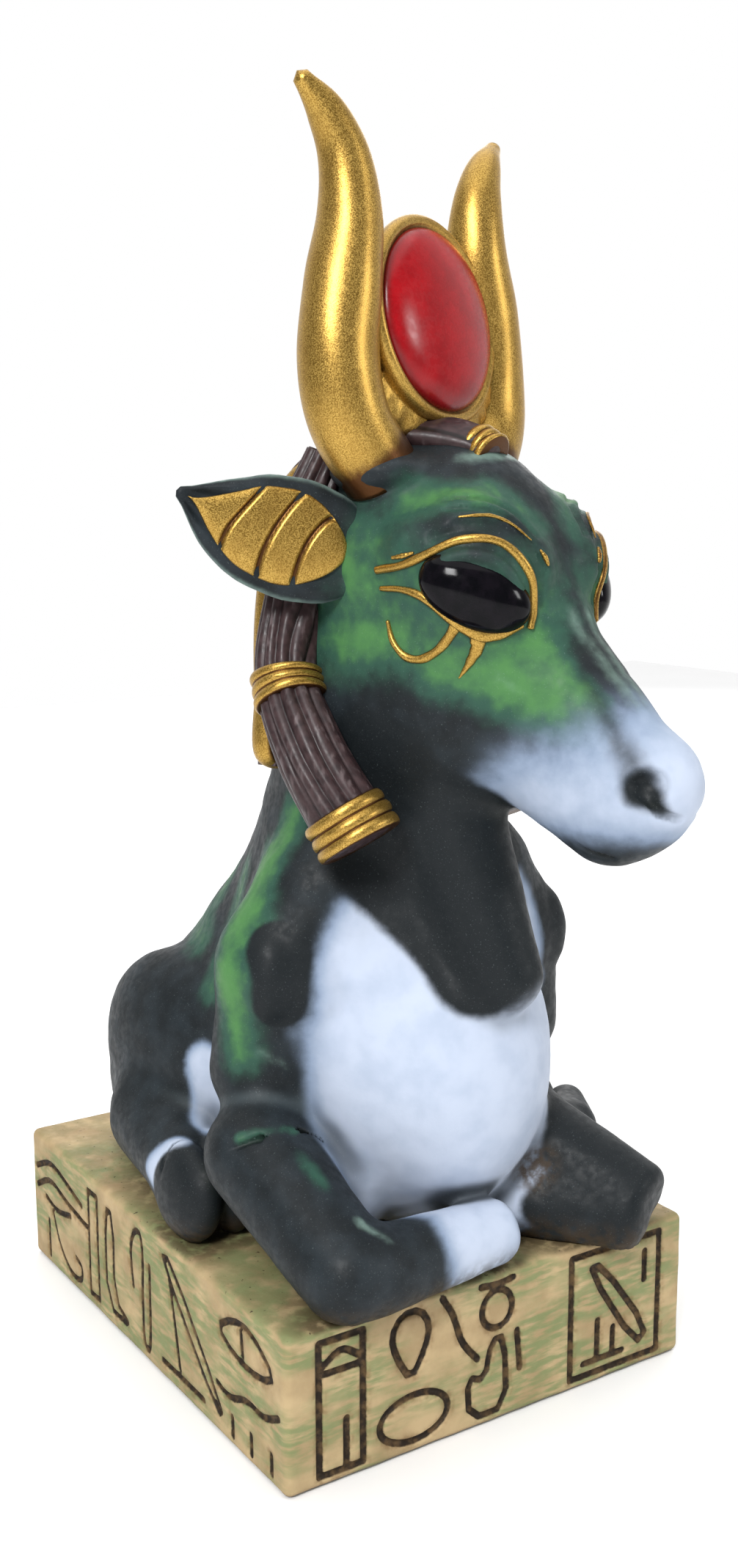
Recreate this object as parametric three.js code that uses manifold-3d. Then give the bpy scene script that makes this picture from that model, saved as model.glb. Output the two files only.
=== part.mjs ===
// A seated cow wearing horns, a sun disc and a plaited wig: a painted resin figurine on an inscribed plinth.
// Millimetres, +Z up. The cow looks along -Y and its right side is -X. The origin is the middle of the
// plinth's underside.
import * as THREE from "three";
import Module from "manifold-3d";
import { mergeVertices } from "three/addons/utils/BufferGeometryUtils.js";

// Plinth
const PLINTH_WIDTH = 74;
const PLINTH_LENGTH = 92;
const PLINTH_HEIGHT = 24;
const PLINTH_CORNER = 1.6;
const PLINTH_EDGE = 1.2;
const STROKE_DEPTH = 0.8;
const STROKE_WIDTH = 1.1;
const PROUD = 1; // how far a cutter stands out of the face that it cuts

// Cow
const SEAT = PLINTH_HEIGHT + 0.3; // the cow's flat underside, clear of the plinth by the glue line
const HEAD_TURN = THREE.MathUtils.degToRad(18); // the head looks a little to the cow's left
const NECK_Y = -22; // the upright line that the head turns about
const FLAT = 0.3; // the seat is flattened this far up
const GRID = 1.6; // spacing of the samples that the cow's skin is drawn through
const SKIN_TRIANGLES = 4600;
const COW_TRIANGLES = 8000;
const HEAD_WORTH = 4; // how much more a fold on the head counts than one on the body
const SHOULDER_HEIGHT = 92;
const THINNEST = 0.01; // how far under the skin a filled sample lies
const STUMP_EDGE = 2.4; // how wide the edge of a square end is rounded

// Crown
const DISC_RADIUS = 15;
const DISC_RIM = 1.7;
const DISC_LEAN = THREE.MathUtils.degToRad(10);
const DISC_TURN = THREE.MathUtils.degToRad(3);
const DISC_CENTRE = [0, 3.8, 161.9];

const ACROSS = new THREE.Vector3(1, 0, 0);
const AHEAD = new THREE.Vector3(0, 1, 0);
const UP = new THREE.Vector3(0, 0, 1);

const clamp01 = (t) => Math.min(1, Math.max(0, t));

// Forms: each returns a signed distance and the width over which it melts into its neighbours

// A limb with round ends and its own radius at each end.
function limb(a, ra, b, rb, blend) {
  const ab = b.map((v, i) => v - a[i]);
  const long = ab[0] ** 2 + ab[1] ** 2 + ab[2] ** 2;
  const distance = (x, y, z) => {
    const px = x - a[0];
    const py = y - a[1];
    const pz = z - a[2];
    const t = clamp01((px * ab[0] + py * ab[1] + pz * ab[2]) / long);
    const dx = px - t * ab[0];
    const dy = py - t * ab[1];
    const dz = pz - t * ab[2];
    return Math.sqrt(dx * dx + dy * dy + dz * dz) - ra - (rb - ra) * t;
  };
  return { blend, distance };
}

// A limb cut off square at its far end, with a soft edge.
function stump(a, ra, b, rb, blend) {
  const long = Math.hypot(...b.map((v, i) => v - a[i]));
  const way = b.map((v, i) => (v - a[i]) / long);
  const whole = limb(a, ra, b.map((v, i) => v + rb * way[i]), rb, blend);
  const distance = (x, y, z) => {
    const v = whole.distance(x, y, z);
    const w = (x - b[0]) * way[0] + (y - b[1]) * way[1] + (z - b[2]) * way[2];
    const h = Math.max(STUMP_EDGE - Math.abs(v - w), 0) / STUMP_EDGE;
    return Math.max(v, w) + (h * h * STUMP_EDGE) / 4;
  };
  return { blend, distance };
}

// An egg: its radii lie along X, Y and Z before it is pitched about X, nose down for a positive angle.
function egg(centre, radii, blend, pitch = 0) {
  const c = Math.cos(THREE.MathUtils.degToRad(pitch));
  const s = Math.sin(THREE.MathUtils.degToRad(pitch));
  const least = Math.min(...radii);
  const distance = (x, y, z) => {
    const px = (x - centre[0]) / radii[0];
    const qy = y - centre[1];
    const qz = z - centre[2];
    const py = (c * qy - s * qz) / radii[1];
    const pz = (s * qy + c * qz) / radii[2];
    const k0 = Math.sqrt(px * px + py * py + pz * pz);
    const k1 = Math.hypot(px / radii[0], py / radii[1], pz / radii[2]);
    return k1 < 1e-6 ? -least : (k0 * (k0 - 1)) / k1;
  };
  return { blend, distance };
}

const join = (d, form, v) => {
  const h = Math.max(form.blend - Math.abs(d - v), 0) / form.blend;
  return Math.min(d, v) - (h * h * form.blend) / 4;
};
const carve = (d, form, v) => -join(-d, form, v);

// The cow's body, in the frame of the plinth
const trunk = [
  egg([0, 5, 47], [26, 32, 23], 8),
  egg([0, -20, 52], [21.5, 26, 28], 10),
  limb([0, -10, 63], 20, [0, 22, 46], 17, 10),
  egg([0, 27, 41], [22, 16, 15], 8),
  limb([0, -4.6, 86], 12.4, [0, 6.6, 65.5], 15.8, 8),
  limb([0, -15, 77], 19, [0, -17, 104], 16, 10),
  limb([-0.5, -32.5, 91], 8.5, [2.5, -43, 68.5], 5.5, 4),
];
const pair = [
  limb([15, -19, 78], 9, [20.6, -18, 68], 9.5, 5),
  limb([20.6, -18, 68], 9.2, [22.8, -17, 52], 8.7, 3),
  egg([25.4, -22.8, 67.6], [4.2, 4.4, 7], 1),
  egg([22, 16.5, 44.8], [9.2, 18, 16.5], 5),
  limb([26, 13, 35], 9, [30, -3, 33], 6.5, 4),
  limb([17, -10, 33], 8.5, [18, -26, 33.5], 8, 5),
  egg([18.5, 24, 33], [9.5, 14, 11], 5),
  egg([33, -9.5, 31.5], [4.2, 8.5, 7.8], 1),
  egg([26.6, -9.5, 31.5], [4.2, 8.5, 7.8], 1),
];
const forelegs = [
  limb([-28.3, -24, 41.5], 8.2, [-26.6, -45.6, 31.2], 7, 4),
  stump([-21, -46, 30.4], 6.1, [2.6, -43.3, 29.3], 4.5, 2.5),
  stump([16.6, -29, 37.2], 7.9, [25.2, -50.2, 29.4], 5.7, 4),
  limb([13, -36, 28.5], 6, [20.6, -47.6, 27.8], 4.4, 4),
  limb([30.6, -24, 36.4], 3.4, [26.6, -30, 35.6], 4.3, 3),
];

// The tail lies round the rump and ends in a tuft beside the left haunch.
const tail = [
  limb([0, 40, 50], 2.4, [3, 41.5, 38], 2.2, 3),
  limb([3, 41.5, 38], 2.2, [14, 41.5, 29], 2.2, 2),
  egg([20, 40, 29.4], [7, 3, 3.8], 2),
];

// The head, in its own frame: across to the cow's left, ahead, and up
const skull = [
  limb([0, -4, 108], 15, [0, 2, 126], 16, 10),
  egg([0, 7, 129], [15.5, 17.5, 16.3], 8),
  limb([0, 16, 120.5], 12.8, [0, 30, 106.8], 7.4, 8),
  limb([0, 30, 106.8], 7.4, [0, 40.3, 98.1], 8.3, 6),
  limb([0, 15, 107], 9, [0, 35, 93.8], 7.3, 6),
];
const face = [
  egg([7, 10, 110], [9, 15, 14], 7, 20),
  egg([9.3, 17, 127], [8.3, 9.5, 9.5], 5),
  limb([16, 12, 131], 2, [12, 18.5, 133.3], 2.2, 4),
  limb([12, 18.5, 133.3], 2.2, [6.5, 25.5, 128], 2.4, 4),
  egg([11, 3.6, 140.5], [7.4, 7.4, 3.4], 2),
];
const nostrils = [egg([7, 45, 99.5], [2.4, 2.6, 2], 1.5)];

// Turns a place in the plinth's frame into the head's own frame.
function intoHead(x, y) {
  const c = Math.cos(HEAD_TURN);
  const s = Math.sin(HEAD_TURN);
  return [x * c + (y - NECK_Y) * s, x * s - (y - NECK_Y) * c];
}

function headField(across, ahead, z, d = 1e3) {
  for (const form of skull) d = join(d, form, form.distance(across, ahead, z));
  for (const form of face) d = join(d, form, form.distance(Math.abs(across), ahead, z));
  for (const form of nostrils) d = carve(d, form, form.distance(Math.abs(across), ahead, z));
  return d;
}

function cowField(x, y, z) {
  let d = 1e3;
  for (const form of trunk) d = join(d, form, form.distance(x, y, z));
  for (const form of pair) d = join(d, form, form.distance(Math.abs(x), y, z));
  for (const form of forelegs) d = join(d, form, form.distance(x, y, z));
  for (const form of tail) d = join(d, form, form.distance(x, y, z));
  const [across, ahead] = intoHead(x, y);
  return Math.max(headField(across, ahead, z, d), SEAT - z);
}

// Whether the marked corners of a cell hang together along its edges.
function inOnePiece(marked) {
  if (!marked.length) return true;
  const seen = new Set([marked[0]]);
  for (const corner of seen)
    for (const bit of [1, 2, 4])
      if (marked.includes(corner ^ bit)) seen.add(corner ^ bit);
  return seen.size === marked.length;
}

// Fills the cells where two sheets of skin would touch at a point or an edge.
function fillPinches(value, size, corners, at) {
  const all = [0, 1, 2, 3, 4, 5, 6, 7];
  const pinched = Array.from({ length: 256 }, (_, mask) => {
    const inside = all.filter((n) => mask & (1 << n));
    return !inOnePiece(inside) || !inOnePiece(all.filter((n) => !inside.includes(n)));
  });
  for (let filled = true; filled; ) {
    filled = false;
    for (let k = 0; k < size[2] - 1; k++)
      for (let j = 0; j < size[1] - 1; j++)
        for (let i = 0; i < size[0] - 1; i++) {
          const base = at(i, j, k);
          const mask = all.reduce((m, n) => (value[base + corners[n]] < 0 ? m | (1 << n) : m), 0);
          if (!pinched[mask]) continue;
          for (const n of all) if (value[base + corners[n]] >= 0) value[base + corners[n]] = -THINNEST;
          filled = true;
        }
  }
}

// Draws a closed skin of quads where the field changes sign: one point in each mixed cell, one quad across
// each mixed edge.
function skin(field, low, high, step) {
  const size = low.map((v, i) => Math.ceil((high[i] - v) / step) + 1);
  const [nx, ny, nz] = size;
  const at = (i, j, k) => (k * ny + j) * nx + i;
  const value = new Float32Array(nx * ny * nz);
  for (let k = 0; k < nz; k++)
    for (let j = 0; j < ny; j++)
      for (let i = 0; i < nx; i++)
        value[at(i, j, k)] = field(low[0] + i * step, low[1] + j * step, low[2] + k * step);
  const points = [];
  const cell = new Int32Array(nx * ny * nz).fill(-1);
  const corners = [0, 1, nx, nx + 1, nx * ny, nx * ny + 1, nx * ny + nx, nx * ny + nx + 1];
  const edges = [];
  for (let a = 0; a < 8; a++) for (const bit of [1, 2, 4]) if (!(a & bit)) edges.push([a, a | bit]);
  fillPinches(value, size, corners, at);
  for (let k = 0; k < nz - 1; k++)
    for (let j = 0; j < ny - 1; j++)
      for (let i = 0; i < nx - 1; i++) {
        const base = at(i, j, k);
        const sum = [0, 0, 0];
        let crossings = 0;
        for (const [a, b] of edges) {
          const va = value[base + corners[a]];
          const vb = value[base + corners[b]];
          if (va < 0 === vb < 0) continue;
          const t = va / (va - vb);
          [1, 2, 4].forEach((bit, axis) => {
            sum[axis] += (a & bit ? 1 : 0) + t * ((b & bit ? 1 : 0) - (a & bit ? 1 : 0));
          });
          crossings++;
        }
        if (!crossings) continue;
        cell[base] = points.length;
        points.push([i, j, k].map((n, axis) => low[axis] + step * (n + sum[axis] / crossings)));
      }
  const faces = [];
  const stride = [1, nx, nx * ny];
  for (let k = 1; k < nz - 1; k++)
    for (let j = 1; j < ny - 1; j++)
      for (let i = 1; i < nx - 1; i++) {
        const base = at(i, j, k);
        for (let axis = 0; axis < 3; axis++) {
          const inside = value[base] < 0;
          if (inside === value[base + stride[axis]] < 0) continue;
          const u = stride[(axis + 1) % 3];
          const v = stride[(axis + 2) % 3];
          const quad = [base, base - u, base - u - v, base - v].map((n) => cell[n]);
          if (inside) quad.reverse();
          const [p, q, r, s] = quad;
          faces.push([r, q, p], [s, r, p]);
        }
      }
  return { points, faces };
}

// Folds away the edges that matter least until the skin has few enough faces, and keeps it closed.
function simplify({ points, faces }, target) {
  const quadric = points.map(() => new Float64Array(10));
  const facesOf = points.map(() => new Set());
  const alive = new Set(faces);
  const normal = ([a, b, c], at = (n) => points[n]) => {
    const [p, q, r] = [at(a), at(b), at(c)];
    const u = [q[0] - p[0], q[1] - p[1], q[2] - p[2]];
    const v = [r[0] - p[0], r[1] - p[1], r[2] - p[2]];
    return [u[1] * v[2] - u[2] * v[1], u[2] * v[0] - u[0] * v[2], u[0] * v[1] - u[1] * v[0]];
  };
  for (const face of faces) {
    const n = normal(face);
    const area = Math.hypot(...n) || 1e-12;
    const p = points[face[0]];
    const [a, b, c] = n.map((v) => v / area);
    const d = -(a * p[0] + b * p[1] + c * p[2]);
    const plane = [a * a, a * b, a * c, a * d, b * b, b * c, b * d, c * c, c * d, d * d];
    const worth = area * (p[2] > SHOULDER_HEIGHT ? HEAD_WORTH : 1);
    for (const n of face) {
      plane.forEach((v, i) => (quadric[n][i] += v * worth));
      facesOf[n].add(face);
    }
  }
  const cost = (q, [x, y, z]) =>
    q[0] * x * x + 2 * q[1] * x * y + 2 * q[2] * x * z + 2 * q[3] * x + q[4] * y * y +
    2 * q[5] * y * z + 2 * q[6] * y + q[7] * z * z + 2 * q[8] * z + q[9];
  const best = (a, b) => {
    const q = quadric[a].map((v, i) => v + quadric[b][i]);
    const middle = points[a].map((v, i) => (v + points[b][i]) / 2);
    const matrix = new THREE.Matrix3().set(q[0], q[1], q[2], q[1], q[4], q[5], q[2], q[5], q[7]);
    const places = [middle, points[a], points[b]];
    if (Math.abs(matrix.determinant()) > 1e-3) {
      const p = new THREE.Vector3(-q[3], -q[6], -q[8]).applyMatrix3(matrix.invert());
      if (p.distanceTo(new THREE.Vector3(...middle)) < 2 * GRID) places.push(p.toArray());
    }
    const costs = places.map((p) => cost(q, p));
    const least = costs.indexOf(Math.min(...costs));
    return { a, b, place: places[least], cost: costs[least] };
  };
  const around = (n) => new Set([...facesOf[n]].flat());
  const folds = ({ a, b, place }) => {
    const shared = [...around(a)].filter((n) => n !== a && n !== b && around(b).has(n));
    if (shared.length !== 2) return false;
    for (const n of [a, b])
      for (const face of facesOf[n]) {
        if (face.includes(a) && face.includes(b)) continue;
        const before = normal(face);
        const after = normal(face, (m) => (m === n ? place : points[m]));
        const turn = before[0] * after[0] + before[1] * after[1] + before[2] * after[2];
        if (turn < 0.25 * Math.hypot(...before) * Math.hypot(...after)) return false;
      }
    return true;
  };
  while (alive.size > target) {
    const edges = [];
    for (const [a, b, c] of alive)
      for (const [m, n] of [[a, b], [b, c], [c, a]]) if (m < n) edges.push(best(m, n));
    edges.sort((m, n) => m.cost - n.cost);
    const touched = new Set();
    const before = alive.size;
    for (const edge of edges.slice(0, Math.ceil(edges.length / 4))) {
      if (alive.size <= target) break;
      const ring = [...around(edge.a), ...around(edge.b)];
      if (ring.some((n) => touched.has(n)) || !folds(edge)) continue;
      ring.forEach((n) => touched.add(n));
      points[edge.a] = edge.place;
      quadric[edge.a] = quadric[edge.a].map((v, i) => v + quadric[edge.b][i]);
      for (const face of [...facesOf[edge.b]]) {
        if (face.includes(edge.a)) {
          alive.delete(face);
          face.forEach((n) => facesOf[n].delete(face));
        } else {
          face[face.indexOf(edge.b)] = edge.a;
          facesOf[edge.a].add(face);
        }
      }
    }
    if (alive.size === before) break;
  }
  return { points, faces: [...alive] };
}

function geometryOf({ points, faces }) {
  const geometry = new THREE.BufferGeometry();
  geometry.setAttribute("position", new THREE.Float32BufferAttribute(points.flat(), 3));
  geometry.setIndex(faces.flat());
  return geometry;
}

// A closed form drawn along a curve: section(t, angle) says how far its skin stands across and along "up".
function loft(curve, steps, sides, up, section) {
  const points = [];
  const faces = [];
  for (let i = 0; i <= steps; i++) {
    const t = i / steps;
    const centre = curve.getPoint(t);
    const along = curve.getTangent(t);
    const across = new THREE.Vector3().crossVectors(up, along).normalize();
    const raised = new THREE.Vector3().crossVectors(along, across);
    for (let j = 0; j < sides; j++) {
      const [a, b] = section(t, (2 * Math.PI * j) / sides);
      points.push(centre.clone().addScaledVector(across, a).addScaledVector(raised, b).toArray());
    }
  }
  for (let i = 0; i < steps; i++)
    for (let j = 0; j < sides; j++) {
      const a = i * sides + j;
      const b = i * sides + ((j + 1) % sides);
      faces.push([a, b, a + sides], [b, b + sides, a + sides]);
    }
  for (const [ring, end] of [[0, 0], [steps * sides, 1]]) {
    const centre = points.length;
    points.push(curve.getPoint(end).toArray());
    for (let j = 0; j < sides; j++) {
      const a = ring + j;
      const b = ring + ((j + 1) % sides);
      faces.push(end ? [a, b, centre] : [b, a, centre]);
    }
  }
  return geometryOf({ points, faces });
}

const round = (radius, angle) => [radius * Math.cos(angle), radius * Math.sin(angle)];

const curveThrough = (points) => new THREE.CatmullRomCurve3(points.map((p) => new THREE.Vector3(...p)));

// A value that runs smoothly through evenly spaced steps.
function eased(values, t) {
  const at = t * (values.length - 1);
  const i = Math.min(Math.floor(at), values.length - 2);
  return THREE.MathUtils.lerp(values[i], values[i + 1], at - i);
}

// Parts that are drawn for the cow's left side in the head's frame, and mirrored

const HORN_PATH = [
  [11, 3.6, 140],
  [16.5, 2.2, 147.5],
  [17.9, 1.4, 156],
  [16.6, 1.2, 166],
  [15, 1.1, 175],
  [15.8, 0.7, 183],
  [18.6, -0.1, 188.2],
  [22.4, -1.1, 192],
];
const HORN_RADII = [5.8, 5.8, 5.7, 5.4, 4.6, 3.6, 2.7, 1.1];
const HORN_FOOT = 140;
const LEFT_HORN_HEIGHT = 0.955; // the left horn came out a little shorter

function horn(side) {
  const height = side > 0 ? LEFT_HORN_HEIGHT : 1;
  const path = HORN_PATH.map(([x, y, z]) => [x, y, HORN_FOOT + (z - HORN_FOOT) * height]);
  return loft(curveThrough(path), 18, 10, AHEAD, (t, angle) => round(eased(HORN_RADII, t), angle));
}

const EAR_PATH = [
  [13, 4, 127.9],
  [20, -2, 130.6],
  [28, -8.5, 133.8],
  [34.4, -13.6, 138],
];
const EAR_HALF_WIDTHS = [3.6, 7.6, 8.7, 7.8, 4.9, 0.5];
const EAR_HALF_THICKNESS = 1.8;

function ear() {
  return loft(curveThrough(EAR_PATH), 10, 8, UP, (t, angle) => {
    const thin = EAR_HALF_THICKNESS * Math.min(1, 3 * (1 - t) + 0.3);
    return [thin * Math.cos(angle), eased(EAR_HALF_WIDTHS, t) * Math.sin(angle)];
  });
}

// The plaits hang from behind the ears, with a band half way down and another at the end.
const BRAID_PATH = [
  [11, -6, 143],
  [13.6, -8, 135],
  [15.4, -8.8, 124],
  [18.9, -8, 112.5],
  [21.8, -1, 101.5],
  [20.4, 7.2, 89],
];
const BRAID_RADII = [3.7, 4.4, 4.6, 4.7, 5.2, 5.8];
const BRAID_STRANDS = 7;
const BRAID_FLUTE = 0.4;
const BAND_SWELL = 0.65;
const BANDS = [
  [0.535, 0.615],
  [0.905, 1],
];

function braid() {
  return loft(curveThrough(BRAID_PATH), 12, 2 * BRAID_STRANDS, ACROSS, (t, angle) =>
    round(eased(BRAID_RADII, t) + BRAID_FLUTE * Math.cos(BRAID_STRANDS * angle), angle),
  );
}

// Three rings side by side round a curve.
function band(curve, [from, to], radii, swell) {
  const places = [from, (from + to) / 2, to].map((t) => curve.getPointAt(t).toArray());
  const stretch = curveThrough(places);
  return loft(stretch, 6, 12, ACROSS, (t, angle) => {
    const ring = swell * (0.7 + 0.3 * Math.abs(Math.sin(3 * Math.PI * t)));
    return round(eased(radii, from + (to - from) * t) + ring, angle);
  });
}

// The back of the wig: a flat panel behind the neck.
const PANEL_PATH = [
  [0, -6.5, 145.5],
  [0, -14.4, 138],
  [0, -17, 120],
  [0, -16.5, 97],
];
const PANEL_HALF_WIDTHS = [7.6, 11.4, 14, 14.6];
const PANEL_HALF_THICKNESS = 2.4;

function panel() {
  return loft(curveThrough(PANEL_PATH), 6, 8, AHEAD, (t, angle) => {
    const square = 1 / Math.max(Math.abs(Math.cos(angle)), Math.abs(Math.sin(angle)));
    const corner = Math.min(square, 1.2);
    return [
      eased(PANEL_HALF_WIDTHS, t) * corner * Math.cos(angle),
      PANEL_HALF_THICKNESS * corner * Math.sin(angle),
    ];
  });
}

// The forelock lies forward between the horns and ends in a band.
const FORELOCK_PATH = [
  [-0.5, -2, 145],
  [-0.5, 6, 145.6],
  [-0.8, 12.5, 144.2],
  [-1, 15.6, 142.6],
];
const FORELOCK_RADII = [2.6, 2.9, 2.8, 2.8];
const FORELOCK_SPREAD = [3.2, 2.6, 1.4, 1];
const FORELOCK_BAND = [0.8, 1];
const CLASP_SWELL = 0.6;

function forelock() {
  return loft(curveThrough(FORELOCK_PATH), 6, 10, UP, (t, angle) => {
    const [a, b] = round(eased(FORELOCK_RADII, t), angle);
    return [a * eased(FORELOCK_SPREAD, t), b];
  });
}

// The disc stands between the horns on a short foot, domed in front.
function disc() {
  const red = DISC_RADIUS - DISC_RIM;
  const profile = [
    [0, -3],
    [DISC_RADIUS * 0.7, -2.6],
    [DISC_RADIUS, -0.8],
    [DISC_RADIUS, 0.8],
    [DISC_RADIUS - 0.6, 1.5],
    [red, 0.9],
    [red * 0.8, 2.7],
    [red * 0.45, 4],
    [0, 4.6],
  ].map(([r, h]) => new THREE.Vector2(r, h));
  const geometry = new THREE.LatheGeometry(profile, 24);
  return geometry.rotateX(DISC_LEAN).rotateZ(-DISC_TURN).translate(...DISC_CENTRE);
}

// The disc's foot lies between the horns and is taller where it meets them.
const FOOT_PATH = [
  [-13, 2.6, 153],
  [-8, 3.6, 149.4],
  [0, 4.2, 147.6],
  [8, 3.6, 149.4],
  [13, 2.6, 153],
];
const FOOT_HALF_WIDTH = 2.7;
const FOOT_HALF_HEIGHT = 4.2;
const FOOT_FLARE = 0.8;

function discFoot() {
  return loft(curveThrough(FOOT_PATH), 8, 8, UP, (t, angle) => {
    const high = FOOT_HALF_HEIGHT + FOOT_FLARE * Math.abs(2 * t - 1);
    return [FOOT_HALF_WIDTH * Math.cos(angle), high * Math.sin(angle)];
  });
}

// The eye and the raised lines round it, set out on the cheek: towards the nose, up, and out from the head
const EYE_CENTRE = new THREE.Vector3(15.4, 23, 124.4);
const EYE_OUT = new THREE.Vector3(0.77, 0.64, 0);
const EYE_NOSEWARD = new THREE.Vector3(-0.64, 0.77, 0);
const EYE_SLANT = THREE.MathUtils.degToRad(25);
const EYE_RADII = [8.1, 5.1, 3.9];
const EYE_SET = 2.4; // how deep the middle of the eye lies
const LINE_RADIUS = 0.68;
const LINE_TAPER = 0.4;
const EYE_LINES = [
  [[-13.1, 2.8], [-7.2, 4.8], [-2, 7.1], [3.3, 6.7], [7.3, 2.4], [7.8, -4.9]],
  [[-12.5, 0.3], [-7.2, -0.5], [-3.2, -3.5], [1.4, -5.3], [6.1, -4.2]],
  [[-2.9, -4], [-4.8, -7.8], [-9.1, -9], [-11.6, -4.2]],
  [[0, -5], [0.2, -8], [-2, -11.6]],
];

// The place on the skin of the head that lies under a place of the eye's plane.
function onCheek([noseward, up]) {
  const p = EYE_CENTRE.clone().addScaledVector(EYE_NOSEWARD, noseward).addScaledVector(EYE_OUT, 8);
  p.z += up;
  for (let i = 0; i < 80 && headField(p.x, p.y, p.z) > 0; i++) p.addScaledVector(EYE_OUT, -0.25);
  return p.toArray();
}

function eyeLine(places) {
  const curve = curveThrough(places.map(onCheek));
  const radius = (t) => LINE_RADIUS * (1 - LINE_TAPER * t * t);
  return loft(curve, 3 * places.length, 4, EYE_OUT, (t, angle) => round(radius(t), angle));
}

function eye() {
  const geometry = new THREE.SphereGeometry(1, 12, 8).scale(...EYE_RADII).rotateZ(-EYE_SLANT);
  const turn = new THREE.Matrix4().makeBasis(EYE_NOSEWARD.clone(), UP.clone(), EYE_OUT.clone());
  if (turn.determinant() < 0) throw new Error("the eye's axes are left-handed");
  return geometry.applyMatrix4(turn).translate(...EYE_CENTRE.clone().addScaledVector(EYE_OUT, -EYE_SET));
}

// Joining
const wasm = await Module();
wasm.setup();

function solid(geometry) {
  const bare = geometry.clone();
  bare.deleteAttribute("normal");
  bare.deleteAttribute("uv");
  const merged = mergeVertices(bare, 1e-4);
  return new wasm.Manifold(
    new wasm.Mesh({
      numProp: 3,
      vertProperties: new Float32Array(merged.attributes.position.array),
      triVerts: new Uint32Array(merged.index.array),
    }),
  );
}

function geometryFrom(manifold) {
  const mesh = manifold.getMesh();
  const geometry = new THREE.BufferGeometry();
  geometry.setAttribute("position", new THREE.BufferAttribute(mesh.vertProperties, 3));
  geometry.setIndex(new THREE.BufferAttribute(mesh.triVerts, 1));
  geometry.computeVertexNormals();
  return geometry;
}

// Places a geometry drawn in the head's frame on the turned head: as drawn, or mirrored for side -1.
function onHead(geometry, side) {
  const c = Math.cos(HEAD_TURN);
  const s = Math.sin(HEAD_TURN);
  const place = new THREE.Matrix4().set(side * c, s, 0, 0, side * s, -c, 0, NECK_Y, 0, 0, 1, 0, 0, 0, 0, 1);
  const placed = geometry.clone().applyMatrix4(place);
  if (place.determinant() < 0) {
    const index = placed.index.array;
    for (let i = 0; i < index.length; i += 3) [index[i], index[i + 1]] = [index[i + 1], index[i]];
  }
  return placed;
}

function cow() {
  const raw = skin(cowField, [-44, -76, SEAT - 1.7 * GRID], [44, 54, 156], GRID);
  for (const p of raw.points) if (p[2] < SEAT + 0.4 * GRID) p[2] = SEAT;
  let whole = solid(geometryOf(simplify(raw, 2 * SKIN_TRIANGLES)));
  const plait = curveThrough(BRAID_PATH);
  const lock = curveThrough(FORELOCK_PATH);
  const clasp = band(lock, FORELOCK_BAND, FORELOCK_RADII, CLASP_SWELL);
  const middle = [disc(), discFoot(), panel(), forelock(), clasp];
  for (const piece of middle) whole = whole.add(solid(onHead(piece, 1)));
  for (const side of [-1, 1]) {
    const pieces = [horn(side), ear(), braid(), eye(), ...EYE_LINES.map(eyeLine)];
    for (const place of BANDS) pieces.push(band(plait, place, BRAID_RADII, BAND_SWELL));
    for (const piece of pieces) whole = whole.add(solid(onHead(piece, side)));
  }
  const { vertProperties, triVerts } = whole.getMesh();
  const points = [];
  const faces = [];
  for (let i = 0; i < vertProperties.length; i += 3) points.push([...vertProperties.slice(i, i + 3)]);
  for (let i = 0; i < triVerts.length; i += 3) faces.push([...triVerts.slice(i, i + 3)]);
  const figure = simplify({ points, faces }, COW_TRIANGLES);
  for (const p of figure.points) if (p[2] < SEAT + FLAT) p[2] = SEAT;
  return geometryOf(figure);
}

// The unit vector square to the way from one place to the next.
const squareTo = (from, to) => new THREE.Vector2(from.y - to.y, to.x - from.x).normalize();

// A band of even width along a stroke, as deep as a groove. A closed stroke runs counterclockwise and
// makes a ring.
function groove({ places, closed }) {
  const points = places.map(([u, v]) => new THREE.Vector2(u, v));
  const sideways = points.map((p, i) => {
    const before = points[i - 1] ?? (closed && points.at(-1));
    const after = points[i + 1] ?? (closed && points[0]);
    const into = squareTo(before || p, before ? p : after);
    const out = after ? squareTo(p, after) : into;
    return into.clone().add(out).multiplyScalar(STROKE_WIDTH / 2 / (1 + into.dot(out)));
  });
  const left = points.map((p, i) => p.clone().add(sideways[i]));
  const right = points.map((p, i) => p.clone().sub(sideways[i]));
  const outline = new THREE.Shape(closed ? right : [...left, ...right.reverse()]);
  if (closed) outline.holes.push(new THREE.Path(left));
  return new THREE.ExtrudeGeometry(outline, { depth: STROKE_DEPTH + PROUD, bevelEnabled: false });
}

const open = (...places) => ({ places, closed: false });
const loop = (...places) => ({ places, closed: true });
const upright = (u, low, high) => open([u, low], [u, high]);
const frame = (u0, v0, u1, v1) => loop([u0, v0], [u1, v0], [u1, v1], [u0, v1]);
const oval = (u, v, ru, rv, sides) =>
  loop(...Array.from({ length: sides }, (_, i) => {
    const angle = (2 * Math.PI * i) / sides;
    return [u + ru * Math.cos(angle), v + rv * Math.sin(angle)];
  }));

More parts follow.
